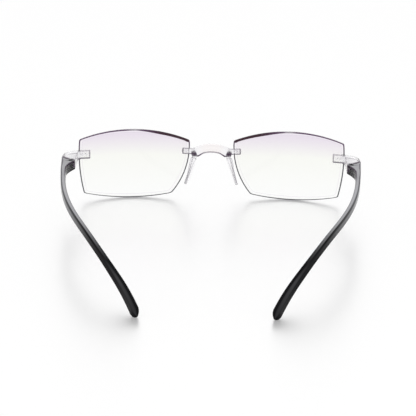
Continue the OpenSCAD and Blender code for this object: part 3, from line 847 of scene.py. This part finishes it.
def bridge_shape():
    """The bar and both tabs as one tube: a rounded rectangle carried along the path, deep in the bar, thin in
    the tabs and drawn in at both ends. The bar's lower edge lies below its section and falls further beside
    the posts, but keeps off the pads' collars. That edge, seen from behind, and the outlines of the tabs are
    dark with painted shade, and the middle of the bar has a blush."""
    bridge, post = settings().bridge, layout().post
    path, back, tab = bridge_path()
    path = np.concatenate([path[:0:-1] * [-1, 1, 1], path])
    back = np.concatenate([back[:0:-1] * [-1, 1, 1], back])
    tab = np.concatenate([tab[:0:-1], tab])
    along = unit(np.gradient(path, axis=0))
    back = unit(back - along * np.einsum("ij,ij->i", along, back)[:, None])
    above = np.cross(back, along)
    run = run_along(path)
    to_end = np.minimum(run, run[-1] - run)
    inset = end_inset(to_end, bridge.tab_round)
    half_d = (bridge.bar_d + (bridge.tab_t - bridge.bar_d) * tab) / 2 - inset
    half_h = (bridge.bar_h + (bridge.tab_h - bridge.bar_h) * tab) / 2 - inset
    rounding = bridge.bar_round + (bridge.tab_round - bridge.bar_round) * tab
    across, up, corner, strip = rounded_sections(half_d, half_h, rounding)
    rings = path[:, None] + across[..., None] * back[:, None] + up[..., None] * above[:, None]
    aside = np.abs(rings[..., 0])
    off_post = np.hypot(aside - post[0], rings[..., 1] - post[1])
    low = bridge.bar_low + bridge.web * between(aside / (post[0] - bridge.post_r), WEB_FROM, 1.0)
    rings[..., 2] -= low * (up < 0) * (aside < post[0]) * between(off_post, COLLAR_NEAR, COLLAR_FAR)
    tab, to_post = tab[:, None], np.abs(path[:, :1]) / post[0]
    towards_post = between(to_post, 0.35, 0.9)
    # Painted shade along the bar's lower edge behind, deeper towards the posts, round the tabs' outlines and
    # at both ends
    behind = (across > 0) & (up < 0)
    bar = np.where(behind, (0.7 + 0.3 * towards_post) * strip, 0.08 * corner)
    tabs = tab_line(up, half_h, strip, 0.65, 0.3)
    ends = (1 - between(to_end, 1.1 * bridge.tab_round, 1.5 * bridge.tab_round))[:, None]
    return skin(rings, {
        "edge": np.maximum(tab * tabs + (1 - tab) * bar, 0.7 * ends),
        # Painted shade along the bar's lower edge behind, deepening towards the posts
        "joint": behind * strip * (1 - tab) * (0.15 + 0.65 * towards_post),
        "blush": (1 - tab) * (1 - between(to_post, 0.3, 0.9)),
    })


def post_shape():
    """The right post: a short round bar from inside the bridge's bar down to the pad's collar, with a rounded
    foot."""
    bridge, at = settings().bridge, layout()
    foot = at.post_low + np.array([0, 0.1, 0.35, 0.9, 1.4]) * MM
    heights = np.concatenate([foot, [at.post[2] - 0.1 * MM, at.post[2] + 0.2 * bridge.tab_h]])
    radii = bridge.post_r * np.array([0.8, 0.92, 1, 1, 0.97, 0.86, 0.78])
    return turned_rod(heights, radii, at.post)


def post_shade(x, y, z):
    """How dark the right post is at a place: full on it, fading just outside it, at its foot and up in the
    bar."""
    bridge, at = settings().bridge, layout()
    off_axis = np.hypot(x - at.post[0], y - at.post[1])
    near = 1 - between(off_axis, 1.02 * bridge.post_r, 1.25 * bridge.post_r)
    above = between(z, at.post_low + 0.3 * MM, at.post_low + 1.4 * MM)
    return near * above * (1 - between(z, at.post[2] - 0.5 * MM, at.post[2] + 0.6 * MM))


class EYEWEAR_OT_bridge(bpy.types.Operator):
    """Moulds the bridge with its tabs and posts."""

    bl_idname = "eyewear.bridge"
    bl_label = "Bridge"

    def execute(self, context):
        bridge, at = settings().bridge, layout()
        obj = piece("bridge.moulded", [bridge_shape()], 1.0, [finish_of(clear_moulded_plastic)])
        stem = turned_rod([at.post_low - MM, at.post_low + bridge.stem_l + bridge.fit_gap],
                          [bridge.stem_r + bridge.fit_gap] * 2, at.post)
        for side in SIDES.values():
            carve(obj, [post_shape()], side, "UNION")
            carve(obj, [stem], side)
        # Painted shade on each post, where the pad's stem is let in
        paint(obj, "joint", post_shade)
        settle(obj, FRONT, "clear_plastic", "bridge")
        return {"FINISHED"}


def pad_place(points):
    """Pad places carried into the model's frame: leant by the splay about the depth, set back, turned by the
    flare about the upright, and hung below the post."""
    bridge, at = settings().bridge, layout()
    x, y, z = np.moveaxis(points, -1, 0)
    lean = -bridge.pad_splay
    x, z = x * math.cos(lean) + z * math.sin(lean), z * math.cos(lean) - x * math.sin(lean)
    y, z = y - bridge.pad_back, z - bridge.collar_t
    turn = bridge.pad_flare
    x, y = x * math.cos(turn) - y * math.sin(turn), x * math.sin(turn) + y * math.cos(turn)
    return np.stack([x + at.post[0], y + at.post[1], z + at.post_low], axis=-1)


PAD_CAP_STEPS = 12
PAD_STEPS = 10
PAD_ROUND = 0.36 * MM
PAD_BOW = 0.3 * MM
PAD_FOOT = 0.92
PAD_TAPER = 2.5
PAD_CAP_FROM = 0.02


def pad_shapes():
    """The right nose pad: a blade whose half depth follows a circle at both ends, which tapers downwards and
    bows a little, carried down as rounded rectangles. The stem, collar and neck above it are one turned bar,
    given as heights above the post's foot, radii and shares of the painted shade where the stem is let into
    the post."""
    bridge, at = settings().bridge, layout()
    end_r = bridge.pad_d / 2
    swing = np.linspace(PAD_CAP_FROM, np.pi / 2, PAD_CAP_STEPS)
    cap = end_r * (1 - np.cos(swing))
    middle = np.linspace(end_r, bridge.pad_h - end_r, PAD_STEPS)[1:-1]
    drop = np.concatenate([cap, middle, bridge.pad_h - cap[::-1]])
    half_d = end_r * np.concatenate([np.sin(swing), np.ones(len(middle)), np.sin(swing[::-1])])
    down = drop / bridge.pad_h
    taper = bridge.pad_t / 2 * (PAD_FOOT + (1 - down) ** PAD_TAPER)
    half_t = np.minimum(taper, half_d * 0.9 + 0.1 * MM)
    across, depth, corner, _ = rounded_sections(half_t, half_d, PAD_ROUND)
    bow = PAD_BOW * (4 * (down - 0.5) ** 2 - 0.5)
    below = np.broadcast_to(-drop[:, None], across.shape)
    places = pad_place(np.stack([across + bow[:, None], depth, below], axis=-1))
    # Painted shade along the blade's rounded corners, stronger on its outer side
    blade = skin(places, {"edge": corner * np.where(across > 0, 0.6, 0.3)})
    # Painted shade on the stem where it is let into the post, fading down the collar
    heights, radii, joint = np.array([
        (bridge.stem_l, bridge.stem_r * 0.8, 0.5),
        (bridge.stem_l - 0.15 * MM, bridge.stem_r, 0.5),
        (0.02 * MM, bridge.stem_r, 0.25),
        (0, bridge.collar_r * 0.92, 0.15),
        (-0.1 * MM, bridge.collar_r, 0.1),
        (0.1 * MM - bridge.collar_t, bridge.collar_r, 0.1),
        (-bridge.collar_t, bridge.collar_r * 0.85, 0.05),
        (-bridge.collar_t - bridge.neck_l, bridge.neck_r, 0.0)]).T
    return [blade, turned_rod(at.post_low + heights, radii, at.post, {"joint": joint[:, None]})]


class EYEWEAR_OT_nose_pads(bpy.types.Operator):
    """Moulds both nose pads."""

    bl_idname = "eyewear.nose_pads"
    bl_label = "Nose pads"

    def execute(self, context):
        for name, _, obj in pair("nose_pad", pad_shapes(), finish_of(clear_moulded_plastic)):
            settle(obj, FRONT, "clear_plastic", f"{name}_nose_pad")
        return {"FINISHED"}


LEAST_HALF = 0.02 * MM


def ruled(outer, inner, above, half_h, rounding, inset=0.0):
    """A bar between an outer and an inner line: at each station a rounded rectangle from one to the other,
    standing along above."""
    middle, way = (outer + inner) / 2, outer - inner
    half_w = np.maximum(np.linalg.norm(way, axis=-1) / 2 - inset, LEAST_HALF)
    across, up, corner, strip = rounded_sections(half_w, half_h - inset, rounding)
    rings = middle[:, None] + across[..., None] * unit(way)[:, None] + up[..., None] * above[:, None]
    return rings, across, up, corner, strip


def plan_arc(centre, radius, start, stop, count):
    """Points of a level circle, from one angle to another in degrees."""
    a = np.radians(np.linspace(start, stop, count))
    return np.stack([centre[0] + radius * np.cos(a), centre[1] + radius * np.sin(a)], axis=-1)


def spaced(points, count):
    """Points spaced evenly along a broken line."""
    points = np.asarray(points, float)
    run = run_along(points)
    at = np.linspace(0, run[-1], count)
    return np.stack([np.interp(at, run, points[:, i]) for i in range(points.shape[1])], axis=-1)


TAB_STOP = 1.2 * MM
SIDE_FLAT = 2.2 * MM
FILLET_DROP = 1.4 * MM
FILLET_PULL = 1.8
FILLET_STEPS = 12
EDGE_PULL = 2
EDGE_STEPS = 6
END_TAB_STEPS = 12
CORNER_AT = 66
CORNER_ARC_STEPS = 40
STOP_AT = 49


def raised(points, height):
    """Points of the plan at one height."""
    return np.column_stack([points, np.full(len(points), height)])


def end_shape():
    """The right end piece: a bar between an outer and an inner line. The outer line follows the back of the
    lens, then the round corner and the side. The inner line follows the back of the tab, turns at the edge of
    the lens and runs back to the room round the hinge's eye. The last section is the face at which the open
    arm stops. Painted shade lies on the outline of the tab and, less strongly, on the edges and on the inner
    side behind it."""
    k, at = settings(), layout()
    end, lens, seat_gap = k.end, k.lens, k.bridge.seat_gap
    hx, hy, hz = at.hinge
    out = at.temporal_at + np.concatenate([
        -end.tab_l + end.rounding * (1 - np.linspace(1, 0.2, END_STEPS) ** 0.5),
        np.linspace(-end.tab_l + end.rounding, -TAB_STOP, END_TAB_STEPS)])
    sit = sphere_depth(lens, out, end.up, lens.thick) - seat_gap
    tab_o, tab_i = on_lens(out, sit, end.up), on_lens(out, sit - end.tab_t, end.up)
    rim = sphere_depth(lens, at.temporal_at, end.up, lens.thick) - seat_gap
    edge = on_lens(at.temporal_at, rim, end.up)[:2]
    from_o, from_i = tab_o[-1, :2], tab_i[-1, :2]
    corner_mid = (at.side_x - end.corner_r, hy + end.corner_ahead)
    arc = plan_arc(corner_mid, end.corner_r, CORNER_AT, 0, CORNER_ARC_STEPS)
    join = hermite(edge, unit(edge - from_o) * EDGE_PULL * MM,
                   arc[0], unit(arc[1] - arc[0]) * EDGE_PULL * MM, EDGE_STEPS)
    flat = np.array([at.side_x, hy + end.hinge_in + SIDE_FLAT])
    stop_end = np.array([at.side_x, hy + end.hinge_in + math.sqrt(2) * end.stop_gap])
    bend, side, eye, turn_at = 20, 14, 16, 22
    outer = np.concatenate([
        spaced(np.concatenate([from_o[None], edge[None], join, arc[:turn_at]]), bend)[1:],
        spaced(np.concatenate([arc[turn_at - 1:], flat[None]]), side)[1:],
        spaced([flat, stop_end], eye)[1:]])
    inner_x = hx - end.eye_r
    room = end.eye_r + end.eye_gap
    eye_top = np.array([inner_x, hy + math.sqrt(room ** 2 - end.eye_r ** 2)])
    turn = np.array([inner_x, from_i[1] - FILLET_DROP])
    fillet = hermite(from_i, unit(from_i - tab_i[-2, :2]) * FILLET_PULL * MM,
                     turn, np.array([0, -FILLET_PULL * MM]), FILLET_STEPS)
    opens = math.degrees(math.atan2(eye_top[1] - hy, -end.eye_r))
    inner = np.concatenate([
        spaced(np.concatenate([from_i[None], fillet, turn[None]]), bend)[1:],
        spaced([turn, eye_top], side)[1:],
        plan_arc((hx, hy), room, opens, STOP_AT, eye)[1:]])
    count = len(outer)
    outer, inner = np.concatenate([tab_o, raised(outer, hz)]), np.concatenate([tab_i, raised(inner, hz)])
    block = np.concatenate([np.zeros(len(tab_o)), between(np.arange(count) / count, 0, 0.4)])[:, None]
    above = unit((1 - block) * turned(lens, 0, 0, 1) + block * np.array([0, 0, 1]))
    half_h = (end.tab_h + (end.hinge_h - end.tab_h) * block[:, 0]) / 2
    run = run_along(outer)
    inset = end_inset(run, end.rounding)
    rings, across, up, corner, strip = ruled(outer, inner, above, half_h, end.rounding, inset)
    # Painted shade at the ends, on the block's inner side, round the tab's outline and along the block's
    # corners
    ends = (1 - between(run, 1.2 * end.rounding, 1.6 * end.rounding))[:, None]
    inside = (across < 0) * between(block, 0.2, 0.9) * 0.25
    tab = tab_line(up, half_h, strip, np.where(up < 0, 0.8, 0.6), 0.25)
    line = block * corner * 0.8 + (1 - block) * tab
    return skin(rings, {"edge": np.maximum(line, np.maximum(0.7 * ends, inside))})


TONGUE_STEPS = 12
TONGUE_SHORT = 0.8 * MM
TONGUE_ROUND = 0.12 * MM
TONGUE_FROM = 0.05


def tongue_shape():
    """The tongue of the right end piece: a bar along Y between its outer and inner sides, round at the back
    about the hinge axis, and cut on the slant where the open arm stops."""
    end, at = settings().end, layout()
    hx, hy, hz = at.hinge
    swing = np.linspace(-np.pi / 2 + TONGUE_FROM, 0, TONGUE_STEPS)
    ahead = np.linspace(0, end.hinge_in - TONGUE_SHORT, TONGUE_STEPS)[1:]
    y = np.concatenate([end.eye_r * np.sin(swing), ahead])
    circle = np.sqrt(np.clip(end.eye_r ** 2 - y ** 2, 0, None))
    slant = np.minimum(end.eye_r, y - math.sqrt(2) * end.stop_gap)
    right = np.where(y > 0, np.maximum(circle, slant), circle)
    left = np.where(y > 0, end.eye_r, circle)
    level = np.full_like(y, hz)
    outer = np.stack([hx + right, hy + y, level], axis=-1)
    inner = np.stack([hx - left, hy + y, level], axis=-1)
    above = np.broadcast_to([0.0, 0.0, 1.0], outer.shape)
    rings, *_ = ruled(outer, inner, above, end.tongue_h / 2, TONGUE_ROUND)
    return skin(rings)


def hinge_shade(x, y, z):
    """How dark the right end piece is at a place: on its tongue, and above that along the face where the arm
    stops."""
    hx, hy, hz = layout().hinge
    forward, out = y - hy, x - hx
    tongue = 1 - between(forward, 0.6 * MM, 1.4 * MM)
    stop = (out > 0) * (1 - between(forward - out, 1.6 * MM, 2.2 * MM)) * (z > hz)
    return 0.95 * np.maximum(tongue, stop)


class EYEWEAR_OT_end_pieces(bpy.types.Operator):
    """Moulds both end pieces with their tongues."""

    bl_idname = "eyewear.end_pieces"
    bl_label = "End pieces"

    def execute(self, context):
        end, hinge = settings().end, layout().hinge
        heights = hinge[2] + np.array([-1, 1]) * end.hinge_h
        bore = turned_rod(heights, [end.screw_r + end.turn_gap] * 2, hinge)
        for name, side, obj in pair("end_piece", [end_shape()], finish_of(clear_moulded_plastic)):
            carve(obj, [tongue_shape()], side, "UNION")
            carve(obj, [bore], side)
            # Painted shade on the tongue, which sits in the arm's fork, and in the gap at the face where the
            # arm stops
            paint(obj, "joint", hinge_shade)
            settle(obj, FRONT, "clear_plastic", f"{name}_end_piece")
        return {"FINISHED"}


ARM_STEPS = 150
TIP_STEPS = 14
SETTLE_TURNS = 8
FIRST_SLOPE = math.radians(2)
TIP_LEAST = 0.02


def arm_run(slope):
    """The right arm's middle line from the block to the tip: the heading turns in along the arm and over the
    ear and back at the tip, the pitch drops over the ear, and the line is the sum of the small steps they
    give. Its half thickness and half height grow towards the tip, where both close along a quarter circle."""
    temple, at = settings().temple, layout()
    tip_from = temple.length - temple.tip_round
    s = np.concatenate([np.linspace(0, tip_from, ARM_STEPS, endpoint=False),
                        tip_from + temple.tip_round * np.sin(np.linspace(0, np.pi / 2, TIP_STEPS))])
    ear = between(s, temple.ear_from, temple.ear_to)
    toe = between(s, temple.toe_from, temple.toe_to)
    tip = between(s, temple.length - temple.tip_turn_l, temple.length)
    heading = temple.toe_start + temple.toe_turn * toe + temple.ear_turn * ear - temple.tip_turn * tip
    pitch = slope * between(s, 0, temple.lead_in) + temple.ear_drop * ear
    flat = np.cos(pitch)
    along = np.stack([-np.sin(heading) * flat, -np.cos(heading) * flat, -np.sin(pitch)], axis=-1)
    steps = (along[1:] + along[:-1]) / 2 * np.diff(s)[:, None]
    path = at.root + np.concatenate([np.zeros((1, 3)), np.cumsum(steps, axis=0)])
    away = np.stack([np.cos(heading), -np.sin(heading), np.zeros_like(s)], axis=-1)
    past = np.clip((s - tip_from) / temple.tip_round, 0, 1)
    closing = np.sqrt(np.maximum(TIP_LEAST, 1 - past ** 2))
    broad = between(s, temple.broad_from, temple.length)
    half_t = closing * (temple.thick + (temple.tip_t - temple.thick) * broad) / 2
    half_h = closing * (temple.root_h + (temple.height - temple.root_h) * between(s, 0, temple.ear_from / 2)
                        + (temple.tip_h - temple.height) * broad) / 2
    return SimpleNamespace(s=s, path=path, away=away, above=np.cross(along, away), half_t=half_t,
                           half_h=half_h, pitch=pitch, broad=broad)


def settled_arm():
    """The arm at the slope at which its lowest point just reaches the ground, found by correcting a first
    slope."""
    slope = FIRST_SLOPE
    for _ in range(SETTLE_TURNS):
        run = arm_run(slope)
        slope += (run.path[:, 2] - run.half_h * np.cos(run.pitch)).min() / settings().temple.length
    return arm_run(slope)


STOP_STEPS = 10
EYE_STEPS = 26
FLANK_STEPS = 18
BLOCK_ROUND = 0.25 * MM
STOP_PLAY = 0.03 * MM
MERGE_L = 9 * MM
CREASE_L = 14 * MM
FADE_TO = 4 * MM
INNER_FROM = -2 * MM
INNER_TO = 6 * MM
STOP_SLANT = 45
EYE_DARK_AT = 14
STOP_DARK_FROM = 12
STOP_DARK_TO = 20


def temple_shape():
    """The right temple as one bar between an outer and an inner line. In the block the outer line is the flat
    side, and the inner line runs down the slanted stop, round the hinge's eye and along a hollow to the arm.
    In the arm both lines lie half the thickness from its middle line. Marks: the share of the way along,
    painted light on the top, a painted line along the ridge at the top's outer edge, painted shade on the
    block's inner face, and painted shade along the block's inner upper edge, where it meets the end piece."""
    k, at = settings(), layout()
    end, temple = k.end, k.temple
    hx, hy, hz = at.hinge
    arm = settled_arm()
    front = np.array([at.side_x, hy + end.hinge_in])
    away = arm.away[0, :2] * temple.block_t / 2
    rear_o, rear_i = at.root[:2] + away, at.root[:2] - away
    eye_arc = plan_arc((hx, hy), end.eye_r, STOP_SLANT, math.degrees(temple.flank_at), EYE_STEPS)
    slant = np.linspace(front - STOP_PLAY, eye_arc[0], STOP_STEPS, endpoint=False)
    bend = rear_i + temple.flank_l * np.array([math.sin(temple.toe_start), math.cos(temple.toe_start)])
    t = np.linspace(0, 1, FLANK_STEPS + 1)[1:, None]
    hollow = (1 - t) ** 2 * eye_arc[-1] + 2 * t * (1 - t) * bend + t ** 2 * rear_i
    inner = np.concatenate([slant, eye_arc, hollow])
    count = len(inner)
    eye_from, eye_to = 0.17, 0.42
    share_o = np.concatenate([
        np.linspace(0, eye_from, STOP_STEPS, endpoint=False), np.linspace(eye_from, eye_to, EYE_STEPS),
        np.linspace(eye_to, 1, FLANK_STEPS + 1)[1:]])
    outer = front + share_o[:, None] * (rear_o - front)
    merge = between(arm.s, 0, MERGE_L)
    half_t = temple.block_t / 2 + (arm.half_t - temple.block_t / 2) * merge
    half_h = end.hinge_h / 2 + (arm.half_h - end.hinge_h / 2) * merge
    softer = (BLOCK_ROUND + (temple.rounding - BLOCK_ROUND) * merge
              + (temple.tip_soft - temple.rounding) * arm.broad)
    outer = np.concatenate([raised(outer, hz), (arm.path + arm.away * half_t[:, None])[1:]])
    inner = np.concatenate([raised(inner, hz), (arm.path - arm.away * half_t[:, None])[1:]])
    above = np.concatenate([np.broadcast_to([0.0, 0.0, 1.0], (count, 3)), arm.above[1:]])
    tall = np.concatenate([np.full(count, end.hinge_h / 2), half_h[1:]])
    rounding = np.concatenate([np.full(count, BLOCK_ROUND), softer[1:]])
    rings, across, up, corner, strip = ruled(outer, inner, above, tall, rounding)
    distance = np.concatenate([(temple.block_l + end.hinge_in) * (share_o - 1), arm.s[1:]])[:, None]
    along = np.clip((distance + temple.block_l) / (temple.length + temple.block_l), 0, 1)
    upper, inward = up > 0, across < 0
    station = np.arange(len(tall))[:, None]
    # Stations behind the eye, where the inner face takes painted shade
    behind = between(station, STOP_STEPS + EYE_DARK_AT, STOP_STEPS + EYE_STEPS)
    fade = 1 - between(distance, -0.9 * temple.block_l, FADE_TO)
    flat_in = inward & (np.abs(up) < 0.97 * tall[:, None])
    # Painted shade along the inner upper edge by the stop and in the crease behind the eye
    inner_edge = strip * (inward & upper)
    at_stop = 1 - between(station, STOP_STEPS + STOP_DARK_FROM, STOP_STEPS + STOP_DARK_TO)
    crease = inner_edge * behind * (1 - between(distance, 0, CREASE_L))
    return skin(rings, {
        "along": along,
        # Painted light on the top face
        "top": (up > 0.9 * tall[:, None]) * (1 - corner),
        # Painted line along the ridge: dark on the grey, a faint painted highlight on the black
        "ridge": (strip + (corner - strip) * between(along, 0.6, 0.8)) * (~inward & upper),
        # Painted shade on the block's inner face, fading along the arm
        "inner": flat_in * behind * (0.3 + 0.7 * fade) * (1 - between(distance, INNER_FROM, INNER_TO)),
        "joint": np.maximum(inner_edge * at_stop, 0.85 * crease),
    })


SLOT_SIDES = 64


def hinge_room():
    """What the fork of the right temple leaves free: the round slot for the tongue, the screw's hole and the
    room for its head."""
    end, at = settings().end, layout()
    hz, fit = at.hinge[2], settings().bridge.fit_gap
    slot_h = end.tongue_h / 2 + end.slide_gap
    top = hz + end.hinge_h / 2
    slot = turned_rod([hz - slot_h, hz + slot_h], [end.eye_r + end.eye_gap] * 2, at.hinge, sides=SLOT_SIDES)
    hole = turned_rod([hz - end.hinge_h, hz + end.hinge_h], [end.screw_r + fit] * 2, at.hinge)
    head = turned_rod([top - end.head_t, top + MM], [end.head_r + fit] * 2, at.hinge)
    return slot, hole, head


class EYEWEAR_OT_temples(bpy.types.Operator):
    """Moulds both temples, each a forked hinge block and a curved arm."""

    bl_idname = "eyewear.temples"
    bl_label = "Temples"

    def execute(self, context):
        for name, side, obj in pair("temple", [temple_shape()], finish_of(smoke_plastic_arm)):
            for cutter in hinge_room():
                carve(obj, [cutter], side)
            settle(obj, f"{name}_arm", "smoke_plastic", f"{name}_temple")
        return {"FINISHED"}


class EYEWEAR_OT_fixings(bpy.types.Operator):
    """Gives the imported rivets, sleeves and hinge screws their finishes."""

    bl_idname = "eyewear.fixings"
    bl_label = "Rivets, sleeves and screws"

    def execute(self, context):
        clear = finish_of(clear_fixing_plastic)
        steel = finish_of(blackened_steel)
        for name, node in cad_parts.items():
            if name.endswith(("rivets", "sleeves", "screw")):
                node.data.materials.clear()
                node.data.materials.append(steel if name.endswith("screw") else clear)
                node.visible_shadow = name.endswith("screw")
        return {"FINISHED"}


# Stage

def make_floor(stage):
    """A wide level floor of glossy white sheet, which takes soft shadows and dim reflections. Where it is
    seen, straight or through the lenses, it is part plain white."""
    half = stage.floor_side / 2
    corners = half * np.array([(-1, -1, 0), (1, -1, 0), (1, 1, 0), (-1, 1, 0)])
    mesh = bpy.data.meshes.new("floor")
    mesh.from_pydata(corners.tolist(), [], [(0, 1, 2, 3)])
    floor = bpy.data.objects.new("floor", mesh)
    bpy.context.scene.collection.objects.link(floor)
    material, tree, shader = new_material("floor_white", Specular_IOR_Level=1.0, Metallic=0.9)
    tone = mixed(tree, maths(tree, "MULTIPLY", grain(tree, 6), 0.01), stage.floor, (0.9, 0.9, 0.9))
    dress(tree, shader, tone, (4, 0.32, 0.35))
    seen = tree.nodes.new("ShaderNodeLightPath")
    through = maths(tree, "MAXIMUM", seen.outputs["Is Camera Ray"], seen.outputs["Is Transmission Ray"])
    white = maths(tree, "MULTIPLY", through, stage.floor_white)
    mix = add_node(tree, "MixShader", {0: white, 1: shader.outputs[0], 2: add_node(tree, "Emission", {})})
    wire(tree, mix, tree.nodes["Material Output"].inputs["Surface"])
    mesh.materials.append(material)


def make_world(stage):
    """An even white surround: full white where it is seen, reflected or seen through, and the fill level as
    light."""
    world = bpy.data.worlds.new("white_surround")
    bpy.context.scene.world = world
    world.use_nodes = True
    tree = world.node_tree
    seen = tree.nodes.new("ShaderNodeLightPath")
    any_seen = maths(tree, "MAXIMUM", seen.outputs["Is Camera Ray"], maths(
        tree, "MAXIMUM", seen.outputs["Is Glossy Ray"], seen.outputs["Is Transmission Ray"]))
    level = add_node(tree, "MapRange", {"Value": any_seen, "To Min": stage.fill, "To Max": 1.0})
    background = tree.nodes["Background"]
    wire(tree, (1, 1, 1), background.inputs["Color"])
    wire(tree, level, background.inputs["Strength"])


def make_lamp(stage):
    """One wide soft lamp overhead."""
    data = bpy.data.lights.new("overhead_lamp", "AREA")
    data.shape, data.size, data.energy = "SQUARE", stage.lamp_side, stage.lamp_power
    lamp = bpy.data.objects.new("overhead_lamp", data)
    lamp.location = stage.lamp_at
    lamp.rotation_mode = "QUATERNION"
    lamp.rotation_quaternion = (-Vector(stage.lamp_at)).to_track_quat("-Z", "Y")
    lamp.visible_camera = False
    bpy.context.scene.collection.objects.link(lamp)


SENSOR_W = 36
CLIP_NEAR = 0.01
CLIP_FAR = 50


def make_camera(stage):
    """The camera stands at its place, looks at its aim and is rolled about that line."""
    data = bpy.data.cameras.new("camera")
    data.sensor_width, data.lens = SENSOR_W, stage.camera_lens
    data.clip_start, data.clip_end = CLIP_NEAR, CLIP_FAR
    camera = bpy.data.objects.new("camera", data)
    way = Vector(stage.camera_aim) - Vector(stage.camera_at)
    turn = way.to_track_quat("-Z", "Y").to_matrix().to_4x4() @ Matrix.Rotation(stage.camera_roll, 4, "Z")
    camera.matrix_world = Matrix.Translation(stage.camera_at) @ turn
    bpy.context.scene.collection.objects.link(camera)
    bpy.context.scene.camera = camera


class EYEWEAR_OT_stage(bpy.types.Operator):
    """Sets the floor, the white surround, the lamp and the camera."""

    bl_idname = "eyewear.stage"
    bl_label = "Stage"

    def execute(self, context):
        stage = settings().stage
        context.scene.view_settings.view_transform = "Standard"
        make_floor(stage)
        make_world(stage)
        make_lamp(stage)
        make_camera(stage)
        return {"FINISHED"}


class EYEWEAR_PT_panel(bpy.types.Panel):
    """Lists the steps that build the eyeglasses."""

    bl_idname = "EYEWEAR_PT_panel"
    bl_label = "Eyeglasses"
    bl_space_type = "VIEW_3D"
    bl_region_type = "UI"
    bl_category = "Eyeglasses"

    def draw(self, context):
        for operator in OPERATORS:
            self.layout.operator(operator.bl_idname)


GROUPS = {
    "eyewear_lens": EYEWEAR_PG_lens,
    "eyewear_bridge": EYEWEAR_PG_bridge,
    "eyewear_end": EYEWEAR_PG_end,
    "eyewear_temple": EYEWEAR_PG_temple,
    "eyewear_stage": EYEWEAR_PG_stage,
}
OPERATORS = (EYEWEAR_OT_lenses, EYEWEAR_OT_bridge, EYEWEAR_OT_nose_pads, EYEWEAR_OT_end_pieces,
             EYEWEAR_OT_temples, EYEWEAR_OT_fixings, EYEWEAR_OT_stage)
CLASSES = (*GROUPS.values(), *OPERATORS, EYEWEAR_PT_panel)


def register():
    """Adds the classes and the scene's settings."""
    for cls in CLASSES:
        bpy.utils.register_class(cls)
    for name, group in GROUPS.items():
        setattr(bpy.types.Scene, name, PointerProperty(type=group))


def unregister():
    """Takes them away again."""
    for name in GROUPS:
        delattr(bpy.types.Scene, name)
    for cls in reversed(CLASSES):
        bpy.utils.unregister_class(cls)


def main():
    """Builds every piece and the stage."""
    register()
    bpy.ops.eyewear.lenses()
    bpy.ops.eyewear.bridge()
    bpy.ops.eyewear.nose_pads()
    bpy.ops.eyewear.end_pieces()
    bpy.ops.eyewear.temples()
    bpy.ops.eyewear.fixings()
    bpy.ops.eyewear.stage()


if __name__ == "__main__":
    main()
